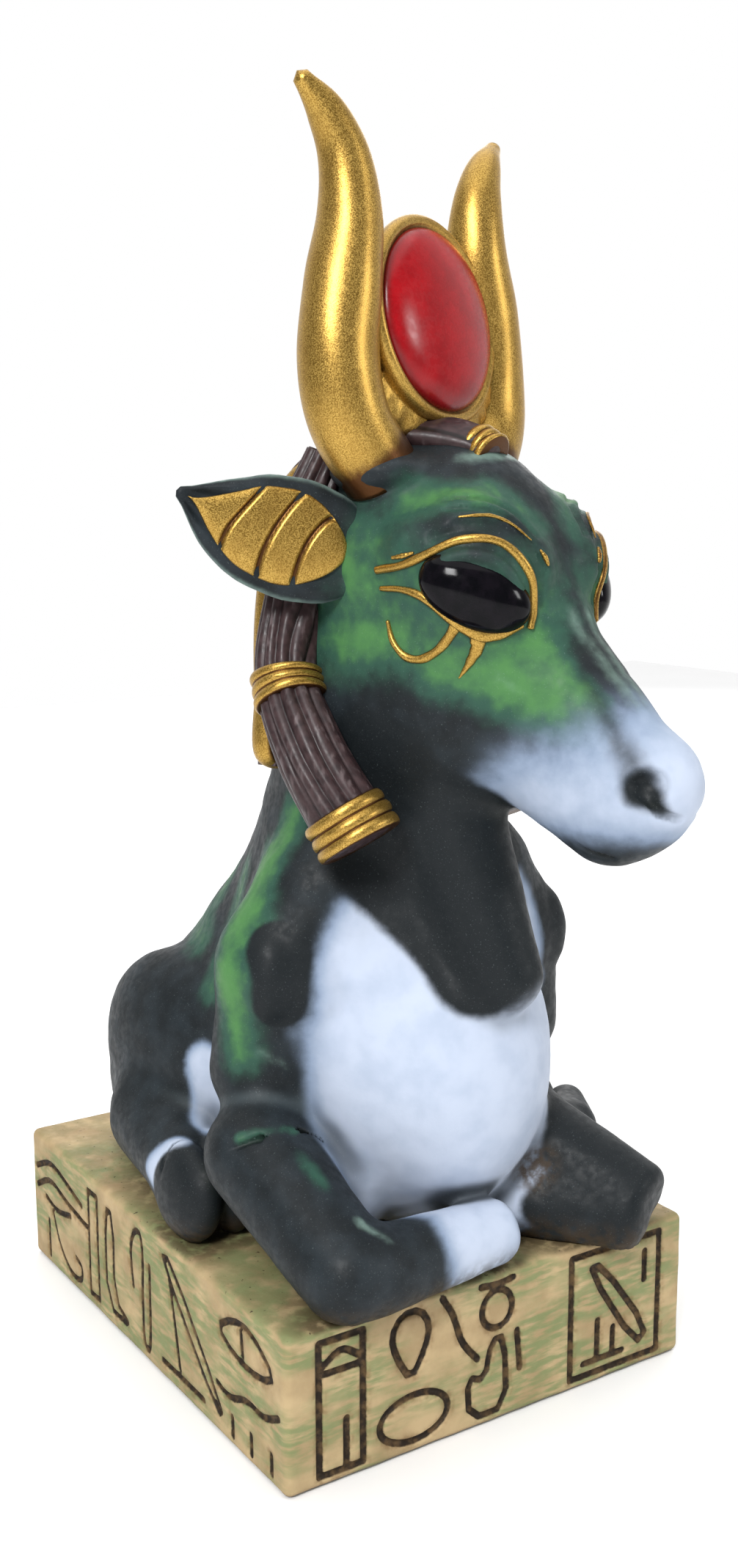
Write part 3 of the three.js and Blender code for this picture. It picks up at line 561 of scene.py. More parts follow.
class Finish:
    """A material made of nodes round one principled shader."""

    def __init__(self, name, **plain):
        self.material = bpy.data.materials.new(name)
        self.material.use_nodes = True
        self.tree = self.material.node_tree
        self.shader = self.tree.nodes["Principled BSDF"]
        for key, value in plain.items():
            self.shader.inputs[key.replace("_", " ")].default_value = value
        place = self.tree.nodes.new("ShaderNodeTexCoord")
        scale = self.tree.nodes.new("ShaderNodeVectorMath")
        scale.operation = "SCALE"
        scale.inputs["Scale"].default_value = 1 / MM
        self.tree.links.new(place.outputs["Object"], scale.inputs[0])
        self.place = scale.outputs[0]

    def put(self, socket, value):
        if isinstance(value, bpy.types.NodeSocket):
            self.tree.links.new(value, socket)
        elif isinstance(value, tuple) and len(value) == 3:
            socket.default_value = (*value, 1)
        else:
            socket.default_value = value

    def noise(self, size, detail=3.0, stretch=(1, 1, 1)):
        """A noise from about 0 to 1, with lumps of a size in millimetres."""
        node = self.tree.nodes.new("ShaderNodeTexNoise")
        node.inputs["Scale"].default_value = 1 / size
        node.inputs["Detail"].default_value = detail
        vector = self.tree.nodes.new("ShaderNodeVectorMath")
        vector.operation = "MULTIPLY"
        vector.inputs[1].default_value = stretch
        self.tree.links.new(self.place, vector.inputs[0])
        self.tree.links.new(vector.outputs[0], node.inputs["Vector"])
        return node.outputs["Fac"]

    def mark(self, name):
        node = self.tree.nodes.new("ShaderNodeAttribute")
        node.attribute_name = name
        return node.outputs["Fac"]

    def math(self, operation, a, b=0.0):
        node = self.tree.nodes.new("ShaderNodeMath")
        node.operation = operation
        self.put(node.inputs[0], a)
        self.put(node.inputs[1], b)
        return node.outputs[0]

    def span(self, value, low, high, to_low=0.0, to_high=1.0):
        """Runs a value smoothly from one range into another, and stops at its ends."""
        node = self.tree.nodes.new("ShaderNodeMapRange")
        node.interpolation_type = "SMOOTHSTEP"
        self.put(node.inputs["Value"], value)
        for key, number in (("From Min", low), ("From Max", high), ("To Min", to_low), ("To Max", to_high)):
            node.inputs[key].default_value = number
        return node.outputs["Result"]

    def mix(self, share, a, b):
        node = self.tree.nodes.new("ShaderNodeMix")
        node.data_type = "RGBA"
        self.put(node.inputs["Factor"], share)
        self.put(node.inputs[6], a)
        self.put(node.inputs[7], b)
        return node.outputs[2]

    def broken(self, mark, size, amount):
        """A mark whose edge is broken up by noise."""
        wobble = self.math("MULTIPLY", self.math("SUBTRACT", self.noise(size, 5.0), 0.5), amount)
        share = self.math("MULTIPLY", self.math("MULTIPLY", mark, self.math("SUBTRACT", 1.0, mark)), 4.0)
        return self.math("ADD", mark, self.math("MULTIPLY", wobble, self.math("ADD", share, 0.12)))

    def done(self, colour, roughness, height=None, strength=0.2, depth=0.05):
        self.put(self.shader.inputs["Base Color"], colour)
        self.put(self.shader.inputs["Roughness"], roughness)
        if height is not None:
            bump = self.tree.nodes.new("ShaderNodeBump")
            bump.inputs["Strength"].default_value = strength
            bump.inputs["Distance"].default_value = depth * MM
            self.put(bump.inputs["Height"], height)
            self.put(self.shader.inputs["Normal"], bump.outputs[0])
        return self.material


CHARCOAL = (0.010, 0.013, 0.015)
SLATE = (0.028, 0.038, 0.046)
LEAF = (0.072, 0.205, 0.062)
TEAL = (0.026, 0.075, 0.052)
CHALK = (0.47, 0.53, 0.645)
CHALK_SHADE = (0.24, 0.31, 0.43)
EARTH = (0.045, 0.028, 0.014)


def hide_paint():
    """Charcoal, airbrushed with green and chalky blue-white, with painted highlights on its ridges, painted
    shade in its creases, a painted shadow low down where it sits, and brown paint on the resin web by the far
    foreleg.
    """
    f = Finish("airbrushed_hide", Specular_IOR_Level=0.17)
    mottle = f.noise(5.0, 3.0)
    speck = f.noise(0.22, 2.0)
    colour = f.mix(f.math("MULTIPLY", f.span(mottle, 0.35, 0.75), 0.5), CHARCOAL, SLATE)
    # Painted highlight: the ridge mark lightens the raised forms where light would catch them.
    colour = f.mix(f.math("MULTIPLY", f.span(f.mark("ridge"), 0.1, 0.75), 0.5), colour, (0.12, 0.15, 0.16))
    green = f.broken(f.mark("green"), 2.2, 0.6)
    colour = f.mix(f.span(green, 0.0, 0.5), colour, TEAL)
    colour = f.mix(f.span(green, 0.45, 1.0), colour, LEAF)
    # Painted highlight: pale blue-green sprayed where light catches the nose, brow, limbs and the ear's
    # edges.
    highlight = f.broken(f.mark("highlight"), 1.6, 0.5)
    colour = f.mix(f.math("MULTIPLY", f.span(highlight, 0.1, 1.0), 0.6), colour, (0.30, 0.45, 0.38))
    white = f.broken(f.mark("white"), 2.4, 0.3)
    chalk = f.mix(f.math("MULTIPLY", f.span(mottle, 0.35, 0.75), 0.3), CHALK, CHALK_SHADE)
    # Painted shade in the creases of the white paint.
    chalk = f.mix(f.math("MULTIPLY", f.span(f.mark("crease_shade"), 0.08, 0.6), 0.75), chalk, (0.10, 0.12, 0.15))
    colour = f.mix(f.span(white, 0.0, 0.5, 0.0, 0.9), colour, CHALK_SHADE)
    colour = f.mix(f.span(white, 0.3, 1.0), colour, chalk)
    dark = f.broken(f.mark("dark"), 1.8, 0.3)
    colour = f.mix(f.span(dark, 0.1, 0.95), colour, CHARCOAL)
    # Painted shade: near-black in the creases and folds.
    fold_shade = f.math("MULTIPLY", f.span(f.mark("crease_shade"), 0.25, 0.8), 0.7)
    colour = f.mix(fold_shade, colour, (0.010, 0.013, 0.012))
    # Painted shadow in brown low down, where the cow sits on the plinth, and brown paint on the resin web by
    # the far foreleg.
    shadow_and_brown = f.math("MULTIPLY", f.mark("shadow_and_brown"), f.span(f.noise(1.6, 4.0), 0.3, 0.6))
    colour = f.mix(shadow_and_brown, colour, EARTH)
    colour = f.mix(f.math("MULTIPLY", f.span(speck, 0.62, 0.8), 0.10), colour, (0.5, 0.6, 0.6))
    roughness = f.span(f.noise(1.2, 3.0), 0.3, 0.7, 0.44, 0.60)
    height = f.math("ADD", f.noise(0.5, 3.0), f.math("MULTIPLY", f.noise(2.5, 2.0), 2.0))
    return f.done(colour, roughness, height, 0.25, 0.06)


def gold_paint():
    """Gold paint with its grain, and painted shade in brown in its creases, in its valleys and where it meets
    other parts.
    """
    f = Finish("gold_paint", Metallic=0.85)
    grain = f.noise(0.18, 2.0)
    cloud = f.noise(3.0, 3.0)
    colour = f.mix(f.span(grain, 0.3, 0.7), (0.25, 0.14, 0.022), (0.60, 0.385, 0.095))
    colour = f.mix(f.math("MULTIPLY", f.span(cloud, 0.35, 0.75), 0.4), colour, (0.32, 0.18, 0.035))
    # Painted shade in brown in the creases, valleys and joints.
    wash = f.broken(f.mark("wash"), 0.9, 0.5)
    colour = f.mix(f.span(wash, 0.15, 0.9), colour, (0.085, 0.034, 0.010))
    roughness = f.span(grain, 0.25, 0.75, 0.30, 0.46)
    height = f.math("ADD", grain, f.math("MULTIPLY", f.noise(0.9, 2.0), 1.5))
    return f.done(colour, roughness, height, 0.3, 0.05)


def hair_paint():
    """Dark brown-purple hair, with painted highlights along the crowns of its strands and painted shade in
    the valleys between them.
    """
    f = Finish("hair_paint", Specular_IOR_Level=0.32)
    colour = f.mix(f.span(f.noise(1.4, 4.0), 0.3, 0.7), (0.022, 0.012, 0.013), (0.048, 0.027, 0.028))
    # Painted highlight on the crowns of the strands, and painted shade in their valleys.
    strand_highlight = f.math("MULTIPLY", f.mark("ridge"), f.span(f.noise(1.1, 4.0, (1, 1, 0.25)), 0.5, 0.72))
    colour = f.mix(strand_highlight, colour, (0.11, 0.082, 0.084))
    colour = f.mix(f.span(f.mark("wash"), 0.3, 1.0), colour, (0.008, 0.005, 0.005))
    height = f.noise(0.5, 3.0, (1, 1, 0.3))
    return f.done(colour, f.span(f.noise(1.0, 2.0), 0.3, 0.7, 0.34, 0.5), height, 0.3, 0.06)


def red_enamel():
    """Glossy red, with painted shade that darkens it towards its edge, where it meets the gold rim."""
    f = Finish("red_enamel", Specular_IOR_Level=0.3)
    colour = f.mix(f.span(f.noise(4.0, 3.0), 0.3, 0.7), (0.24, 0.002, 0.005), (0.32, 0.003, 0.007))
    # Painted shade, darker towards the edge of the dome.
    colour = f.mix(f.math("MULTIPLY", f.span(f.mark("wash"), 0.2, 1.0), 0.6), colour, (0.07, 0.004, 0.004))
    height = f.noise(0.8, 2.0)
    return f.done(colour, f.span(f.noise(0.7, 3.0), 0.3, 0.7, 0.22, 0.32), height, 0.12, 0.04)


def black_gloss():
    f = Finish("black_gloss", Specular_IOR_Level=0.12)
    colour = f.mix(f.span(f.noise(2.0, 3.0), 0.35, 0.7), (0.002, 0.002, 0.003), (0.005, 0.004, 0.006))
    return f.done(colour, f.span(f.noise(0.9, 2.0), 0.3, 0.7, 0.09, 0.16), f.noise(1.2, 2.0), 0.08, 0.05)


SAND = (0.47, 0.35, 0.19)
SAND_DARK = (0.33, 0.235, 0.12)
MOSS = (0.16, 0.215, 0.085)


def sand_paint():
    """Sand colour, dry-brushed with green across its faces, with dark brown in the cut strokes, a painted
    shadow on the top under the cow and painted shade along the bottom edge.
    """
    f = Finish("sand_paint", Specular_IOR_Level=0.3)
    colour = f.mix(f.span(f.noise(6.0, 5.0), 0.3, 0.7), SAND, SAND_DARK)
    brushed = f.math("MULTIPLY", f.span(f.noise(7.0, 4.0, (0.35, 0.35, 1)), 0.38, 0.58),
                     f.span(f.noise(0.9, 4.0, (0.2, 0.2, 1)), 0.32, 0.6))
    colour = f.mix(f.math("MULTIPLY", brushed, 0.8), colour, MOSS)
    top = f.math("MULTIPLY", f.mark("top"), f.span(f.noise(4.0, 5.0), 0.36, 0.6))
    colour = f.mix(f.math("MULTIPLY", top, 0.45), colour, (0.19, 0.17, 0.075))
    # Painted shadow in dark brown on the top, under and around the cow.
    shadow_and_brown = f.math("MULTIPLY", f.mark("shadow_and_brown"), f.span(f.noise(2.2, 5.0), 0.3, 0.55))
    colour = f.mix(f.math("MULTIPLY", shadow_and_brown, 0.8), colour, (0.080, 0.056, 0.026))
    specks = f.math("MULTIPLY", f.span(f.noise(0.8, 3.0), 0.66, 0.74), f.mark("top"))
    colour = f.mix(specks, colour, EARTH)
    stroke = f.broken(f.mark("stroke"), 0.8, 0.5)
    colour = f.mix(f.span(stroke, 0.12, 0.6), colour, (0.016, 0.009, 0.004))
    halo = f.math("MULTIPLY", f.span(f.mark("halo"), 0.1, 1.0), f.span(f.noise(1.5, 4.0), 0.4, 0.7))
    colour = f.mix(f.math("MULTIPLY", halo, 0.55), colour, (0.17, 0.10, 0.04))
    # Painted shade along the bottom edge.
    colour = f.mix(f.math("MULTIPLY", f.mark("foot"), 0.8), colour, (0.09, 0.055, 0.025))
    height = f.math("ADD", f.noise(0.35, 3.0), f.noise(1.5, 3.0, (0.3, 0.3, 1)))
    return f.done(colour, f.span(f.noise(1.0, 3.0), 0.3, 0.7, 0.62, 0.78), height, 0.35, 0.08)


def floor_paint():
    f = Finish("pale_floor")
    colour = f.mix(f.noise(40.0, 3.0), (0.86, 0.86, 0.86), (0.89, 0.89, 0.89))
    return f.done(colour, 0.6)


GOLD = gold_paint()
HAIR = hair_paint()
HIDE = hide_paint()
EYE_BLACK = black_gloss()

# Airbrushed strokes: from, to, radius at each end, softness of the edge, and strength


def sprayed(points, strokes):
    """How much paint the strokes leave at each point."""
    bare = np.ones(len(points))
    for a, b, ra, rb, soft, strength in strokes:
        _, distance = limb(a, ra, b, rb, 1)
        bare *= 1 - strength * smooth(-distance(points) / soft)
    return 1 - bare


GREEN_HEAD = [
    ([15, 2, 124], [8, 24, 122], 17, 13, 9, 0.55),
    ([9, 26, 112], [6, 37, 105], 9, 6, 6, 0.5),
    ([16.5, 2, 117], [17, 10, 118], 5, 5, 5, 0.6),
    ([14, 17, 114], [8, 31, 110], 7.5, 6, 7.5, 0.8),
    ([14.5, 12, 137], [11, 20, 136.5], 6, 6, 6, 0.8),
    ([8, 20, 139], [4, 25, 133], 5, 5, 6, 0.6),
    ([17, 2, 128], [17.5, 6, 124], 4, 4, 4, 0.5),
    ([9, 29, 118], [6.5, 37, 110], 4, 3.5, 3.5, 0.75),
]
GREEN_BODY = [
    ([17.5, -17, 90], [22, -17, 83], 5.5, 6, 5, 0.75),
    ([20, -14, 82], [26, -18, 76], 8, 8, 9, 0.85),
    ([26, -18, 76], [31, -19, 68], 8, 8, 9, 0.75),
    ([31, -19.5, 67], [30, -21.5, 57], 7.5, 6.5, 8, 0.9),
    ([18, 0, 78], [23, 0, 60], 6, 5, 5, 0.6),
    ([27.5, -36, 46], [27, -40, 41], 2.6, 2, 2.5, 0.6),
    ([30, 6, 62], [31, 20, 60], 5, 4, 5, 0.45),
    ([12, 24, 66], [20, 10, 66], 6, 6, 5, 0.55),
    ([7, 12, 84], [14, 12, 72], 5, 6, 5, 0.6),
    ([33.5, -28, 46.5], [26, -31, 47], 1.6, 1.2, 1.2, 0.5),
]
WHITE_HEAD = [([0, 48, 97], [0, 29, 94], 19.5, 19.5, 17, 1.0)]
WHITE_BODY = [
    ([0, -31, 66], [0, -30, 44], 23.5, 24, 6, 1.0),
    ([23, -29, 60], [21, -32, 50], 4.5, 6, 5, 0.6),
    ([25, -2, 48], [25.5, -4.5, 37], 5, 4.6, 3, 0.9),
    ([34, -8, 38.5], [37, -5, 34], 3.8, 4, 2.6, 0.85),
]
WHITE_CANNON = [([-7.5, -46, 31], [-1, -45, 30], 8.8, 7.4, 5, 1.0)]
DARK_HEAD = [
    ([6.6, 43.8, 98.8], [4.6, 46.6, 95.4], 4.4, 2, 3, 1.0),
    ([5, 33, 114], [7.2, 42, 103], 3.4, 4.8, 6, 0.85),
    ([8, 31, 91.6], [4.5, 38.5, 88.4], 1.3, 1.3, 1.2, 0.8),
    ([10, 6, 143], [14, 2, 141], 5, 5, 3, 0.9),
    ([0, 9, 147], [8, 9, 145], 6, 5, 5, 0.75),
]
DARK_BODY = [
    ([0, -26, 98], [1.5, -42, 70.5], 20, 9.4, 3, 1.0),
    ([14, -28, 85], [3, -42, 72.5], 6.5, 7.8, 3, 1.0),
    ([24.4, -24.2, 71.5], [25, -25, 65], 5.6, 4.8, 1.1, 1.0),
    ([33, -11.5, 32], [28, -11.5, 32], 8, 8, 1.2, 1.0),
]
DARK_FAR = [
    ([26, -20, 72], [26, -20, 50], 9, 9, 3, 1.0),
    ([19, -30, 37], [26, -50, 30], 10.5, 10, 2, 1.0),
    ([10, -43, 30], [18, -42, 31], 5, 7, 2.5, 1.0),
    ([11, -36, 88], [15, -33, 74], 7, 6, 3, 1.0),
]
BROWN_FAR = [([4, -44.5, 35], [14, -38, 35], 3.4, 5, 3, 0.9)]
# Painted highlights, sprayed as strokes along the nose, brow and limbs where light catches them.
HIGHLIGHT_HEAD = [
    ([12, 24, 113], [8.6, 36, 106], 2.4, 2.0, 3, 0.4),
    ([2, 30, 121], [1, 44, 106], 3.2, 4, 4, 0.6),
    ([8, 15, 144], [1, 17, 143], 3.4, 2.4, 3, 0.9),
]
HIGHLIGHT_BODY = [
    ([28, -24, 57], [22, -27.5, 53.5], 2.6, 2, 3, 0.35),
    ([25, -46.5, 38.5], [22, -49.5, 36.5], 2.0, 1.6, 1.8, 0.6),
    ([35.5, 4, 43], [35, 0, 40], 3, 3, 3, 0.6),
]


def hide_marks(points):
    """Where each paint lies on the hide, from 0 to 1."""
    both = one_side(points)
    head = one_side(into_head(points))
    on_head_only = smooth((points[:, 2] - 88) / 8)
    on_body_only = 1 - smooth((points[:, 2] - 92) / 8)
    way_out, _ = slope(cow_field, points, 0.4)
    way_out = unit(way_out)
    # Crease marks for the painted shade: how near another surface lies just outside this point, for the big
    # forms and for the fine relief.
    crease_shade = 1 - in_chunks(cow_field, points + CREASE * way_out) / CREASE
    fine = 1 - in_chunks(hide_field, points + CREASE / 3 * way_out) / (CREASE / 3)
    # Ridge mark for the painted highlight: how far the form bulges outward here.
    ridge = 1 + in_chunks(cow_field, points - 2 * CREASE * way_out) / (2 * CREASE)

    def painted(head_strokes, body_strokes):
        above = on_head_only * sprayed(head, head_strokes)
        return np.maximum(above, on_body_only * sprayed(both, body_strokes))

    return {
        "green": painted(GREEN_HEAD, GREEN_BODY),
        "white": np.maximum(painted(WHITE_HEAD, WHITE_BODY), sprayed(points, WHITE_CANNON)),
        "dark": np.maximum.reduce([
            on_head_only * sprayed(head, DARK_HEAD), sprayed(both, DARK_BODY), sprayed(points, DARK_FAR),
        ]),
        "highlight": painted(HIGHLIGHT_HEAD, HIGHLIGHT_BODY),
        "crease_shade": np.clip(np.maximum(crease_shade, 0.8 * fine), 0, 1),
        "ridge": np.clip(ridge, 0, 1),
        # Painted contact shadow towards the seat, and the brown paint of the resin web by the far foreleg.
        "shadow_and_brown": np.maximum(smooth((SEAT + 6 - points[:, 2]) / 6) * 0.8, sprayed(points, BROWN_FAR)),
    }


def make_hide():
    low, high = [-44, -76, SEAT - 1.7 * HIDE_STEP], [44, 54, 156]
    points, faces = skin(hide_field, low, high, HIDE_STEP)
    low_down = points[:, 2] < SEAT + HIDE_STEP / 2
    points[low_down, 2] = SEAT
    mesh = fewer("cow_hide", mesh_of("cow_hide", points, faces), HIDE_TRIANGLES)
    hide = piece("cow_hide", mesh, HIDE, **hide_marks(points_of(mesh)))
    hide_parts("cow")


# Crown
HORN_PATH = [
    [11, 3.6, 140],
    [16.5, 2.2, 147.5],
    [17.9, 1.4, 156],
    [16.6, 1.2, 166],
    [15, 1.1, 175],
    [15.8, 0.7, 183],
    [18.6, -0.1, 188.2],
    [22.4, -1.1, 192],
]
HORN_RADII = [5.8, 5.8, 5.7, 5.4, 4.6, 3.6, 2.7, 1.1]
HORN_FOOT = 140
LEFT_HORN_HEIGHT = 0.955
DISC_RADIUS = 15
DISC_RIM = 1.7
DISC_SEAT = 1
DISC_SWELL = 3.6
DISC_LEAN = math.radians(10)
DISC_TURN = math.radians(3)
DISC_CENTRE = np.array([0, 3.8, 161.9])


def make_horn(side, name):
    height = LEFT_HORN_HEIGHT if side > 0 else 1
    path = [[x, y, HORN_FOOT + (z - HORN_FOOT) * height] for x, y, z in HORN_PATH]

    def section(t, angle):
        radius = eased(HORN_RADII, t)
        dents = 0.12 * np.sin(9 * t + 2 * angle) + 0.08 * np.sin(23 * t + 3 * angle + side)
        seam = 0.25 * np.exp(-(((angle - 4.6) / 0.12) ** 2)) * smooth((0.85 - t) / 0.2)
        return round_section(radius + dents * (1 - t) + seam, angle)

    points, faces, t, _ = loft(path, np.linspace(0, 1, 90), 48, AHEAD, section, (0, 0.8))
    # Painted shade at the foot of the horn, where it meets the head.
    wash = smooth((0.11 - t) / 0.07)
    place, faces = on_head(points, faces, side)
    piece(name, mesh_of(name, place, faces), GOLD, wash=wash)


def turned(profile, sides, wobble=0.0):
    """A form of turning: its profile is radius and height, starting and ending on the axis."""
    profile = np.array(profile, float)
    angle = 2 * np.pi * np.arange(sides) / sides
    inner = profile[1:-1]
    radius = inner[:, :1] + wobble * np.sin(5 * angle + 3 * np.sin(angle))
    high = inner[:, 1:] + 0 * radius
    points = np.stack([radius * np.cos(angle), radius * np.sin(angle), high], -1).reshape(-1, 3)
    points = np.vstack([points, [0, 0, profile[0, 1]], [0, 0, profile[-1, 1]]])
    faces = []
    j = np.arange(sides)
    for i in range(len(inner) - 1):
        a, b = i * sides, (i + 1) * sides
        faces += np.stack([a + j, a + (j + 1) % sides, b + (j + 1) % sides, b + j], 1).tolist()
    first, last = len(points) - 2, len(points) - 1
    start = (len(inner) - 1) * sides
    faces += [[first, int(b), int(a)] for a, b in zip(j, (j + 1) % sides)]
    faces += [[start + int(a), start + int(b), last] for a, b in zip(j, (j + 1) % sides)]
    return points, faces


def on_disc(points):
    """From the disc's own frame, its face along Z, to the head's frame."""
    lean = Matrix.Rotation(DISC_LEAN, 3, "X")
    turn = Matrix.Rotation(-DISC_TURN, 3, "Z")
    return points @ np.array(turn @ lean @ Matrix.Rotation(-math.pi / 2, 3, "X")).T + DISC_CENTRE


def bend(profile):
    """A turned profile with its corners rounded."""
    return rounded(np.array(profile, float), 3)


def make_disc():
    red = DISC_RADIUS - DISC_RIM
    rim = bend([
        [0, -3], [DISC_RADIUS * 0.7, -2.6], [DISC_RADIUS - 0.4, -1.2], [DISC_RADIUS + 0.1, 0],
        [DISC_RADIUS, 1.1], [DISC_RADIUS - 0.7, 1.7], [red + 0.35, 1.6], [red, 1.2], [red - 1, 0.9], [0, 0.9],
    ])
    points, faces = turned(rim, 96, 0.06)
    # Painted shade in the crease round the red.
    wash = 0.6 * smooth((red + 0.6 - length(points[:, :2])) / 0.8) * (points[:, 2] > 0.2)
    place, faces = on_head(on_disc(points), faces, 1)
    piece("disc_rim", mesh_of("disc_rim", place, faces), GOLD, wash=wash)

    swell = np.linspace(math.pi / 2, 0, 22)
    dome = [[0, 0.2], [red - 0.1, 0.2]]
    dome += [[red * 0.985 * math.sin(a), DISC_SEAT + DISC_SWELL * math.cos(a)] for a in swell]
    points, faces = turned(dome, 96)
    # Painted shade, darker towards the edge of the red dome.
    wash = smooth((length(points[:, :2]) - red + 1.6) / 1.6)
    place, faces = on_head(on_disc(points), faces, 1)
    piece("sun_disc", mesh_of("sun_disc", place, faces), red_enamel(), wash=wash)


FOOT_PATH = [[-13, 2.6, 153], [-8, 3.6, 149.4], [0, 4.2, 147.6], [8, 3.6, 149.4], [13, 2.6, 153]]


def make_disc_foot():
    """The disc's foot spreads between the horns and ends in a beaded edge."""

    def section(t, angle):
        high = 4.2 + 0.8 * np.abs(2 * t - 1)
        beads = 0.3 * np.cos(60 * t) * smooth(-np.sin(angle) * 2)
        return (2.7 + beads) * np.cos(angle), high * np.sin(angle) + beads

    points, faces, _, angle = loft(FOOT_PATH, np.linspace(0, 1, 70), 36, UP, section, (1, 1))
    # Painted shade on the underside of the foot.
    wash = smooth(-1.4 * np.sin(angle) - 0.3)
    place, faces = on_head(points, faces, 1)
    piece("disc_foot", mesh_of("disc_foot", place, faces), GOLD, wash=wash)


# Wig
BRAID_PATH = [
    [11, -6, 143],
    [13.6, -8, 135],
    [15.4, -8.8, 124],
    [18.9, -8, 112.5],
    [21.8, -1, 101.5],
    [20.4, 7.2, 89],
]
BRAID_RADII = [3.7, 4.4, 4.6, 4.7, 5.2, 5.8]
BRAID_STRANDS = 11
BRAID_FLUTE = 0.8
BAND_SWELL = 0.65
BANDS = [(0.535, 0.615), (0.905, 1)]
RINGS = 3
PANEL_PATH = [
    [0, -6.5, 145.5],
    [0, -14.4, 138],
    [0, -17, 120],
    [0, -16.5, 97],
]
PANEL_HALF_WIDTHS = [7.6, 11.4, 14, 14.6]
PANEL_HALF_THICKNESS = 2.4
PANEL_STRANDS = 13
PANEL_EDGE = 1.0
FORELOCK_PATH = [
    [-0.5, -2, 145],
    [-0.5, 6, 145.6],
    [-0.8, 12.5, 144.2],
    [-1, 15.6, 142.6],
]
FORELOCK_RADII = [2.6, 2.9, 2.8, 2.8]
FORELOCK_SPREAD = [3.2, 2.6, 1.4, 1]
FORELOCK_BAND = (0.8, 1)
CLASP_SWELL = 0.6


def strands(angle, t, count, phase=0.0):
    """How high the skin stands on round strands, from 0 in a valley to 1 on a crown, with a slight wave."""
    wave = angle + 0.10 * np.sin(7 * t + 2 * angle + phase) + 0.05 * np.sin(17 * t + 3 * angle)
    return np.abs(np.sin(count * wave / 2)) ** 0.7


def make_braid(side, name):
    end = evenly(BRAID_PATH, 0.995)

    def section(t, angle):
        high = strands(angle, t, BRAID_STRANDS, side)
        return round_section(eased(BRAID_RADII, t) + BRAID_FLUTE * (high - 1.1), angle)

    points, faces, t, angle = loft(BRAID_PATH, np.linspace(0, end, 120), 12 * BRAID_STRANDS, ACROSS, section)
    high = strands(angle, t, BRAID_STRANDS, side)
    high[-2:] = 0.3
    place, faces = on_head(points, faces, side)
    # Painted highlight on the crowns of the strands, and painted shade in the valleys between them.
    marks = {"ridge": smooth((high - 0.7) / 0.3), "wash": smooth((0.45 - high) / 0.4)}
    piece(name, mesh_of(name, place, faces), HAIR, **marks)


def rings(path, share, radii, swell, up):
    """Three rings side by side round a curve, open at the end so that the hair shows in it."""
    t = evenly(path, np.linspace(share[0], share[1], 46))
    run = np.linspace(0, 1, 46)

    def section(tt, angle):
        part = np.interp(tt, t, run)
        bulge = np.abs(np.sin(RINGS * np.pi * part)) ** 0.6
        uneven = 0.05 * np.sin(3 * angle + 9 * part)
        radius = eased(radii, share[0] + part * (share[1] - share[0]))
        return round_section(radius + swell * (0.35 + 0.75 * bulge) + uneven, angle)

    points, faces, tt, _ = loft(path, t, 64, up, section, (-0.4, -0.4))
    bulge = np.abs(np.sin(RINGS * np.pi * np.interp(tt, t, run)))
    # Painted shade in the valleys between the rings and in their open ends.
    wash = smooth((0.5 - bulge) / 0.45)
    wash[-2:] = 1
    return points, faces, wash


def make_bands(side, name):
    bands = [rings(BRAID_PATH, share, BRAID_RADII, BAND_SWELL, ACROSS) for share in BANDS]
    points, faces, wash = together(bands)
    place, faces = on_head(points, faces, side)
    piece(name, mesh_of(name, place, faces), GOLD, wash=wash)


def make_braid_end(side, name):
    """The flat brown end of the hair that shows inside the last ring."""
    t = evenly(BRAID_PATH, np.array([0.985, 0.996, 1.0]))

    def section(tt, angle):
        radius = BRAID_RADII[-1] - 0.5 - 1.5 * (tt > t[1] + 1e-6)
        return round_section(radius + 0.12 * np.sin(9 * angle), angle)

    points, faces, _, _ = loft(BRAID_PATH, t, 48, ACROSS, section, (0, 0.25))
    place, faces = on_head(points, faces, side)
    # A faint painted highlight over the end of the hair, and no painted shade.
    marks = {"ridge": np.full(len(points), 0.25), "wash": np.zeros(len(points))}
    piece(name, mesh_of(name, place, faces), HAIR, **marks)


def panel_corner(angle):
    """How much further than its half width the panel's rounded corner reaches."""
    square = 1 / np.maximum(np.abs(np.cos(angle)), np.abs(np.sin(angle)))
    return np.minimum(square, 1.25)


def panel_flutes(across, t):
    """How high the panel's skin stands on its strands, from 0 in a valley to 1 on a crown."""
    wave = PANEL_STRANDS * np.pi * across / (2 * PANEL_HALF_WIDTHS[-1])
    return np.abs(np.sin(wave + 0.25 * np.sin(9 * t)))


def panel_section(t, angle):
    corner = panel_corner(angle)
    across = eased(PANEL_HALF_WIDTHS, t) * corner * np.cos(angle)
    raised = PANEL_HALF_THICKNESS * corner * np.sin(angle)
    flute = 0.45 * (panel_flutes(across, t) ** 0.7 - 0.9)
    return across - np.sign(across) * 0.4, raised + np.sign(raised) * flute


def make_panel():
    """The back of the wig: a fluted panel behind the neck."""
    points, faces, t, angle = loft(PANEL_PATH, np.linspace(0, 1, 80), 200, AHEAD, panel_section)
    high = panel_flutes(eased(PANEL_HALF_WIDTHS, t) * panel_corner(angle) * np.cos(angle), t)
    place, faces = on_head(points, faces, 1)
    # Painted highlight on the crowns of the strands, and painted shade in the valleys between them.
    marks = {"ridge": smooth((high - 0.7) / 0.3), "wash": smooth((0.4 - high) / 0.4)}
    piece("wig_panel", mesh_of("wig_panel", place, faces), HAIR, **marks)


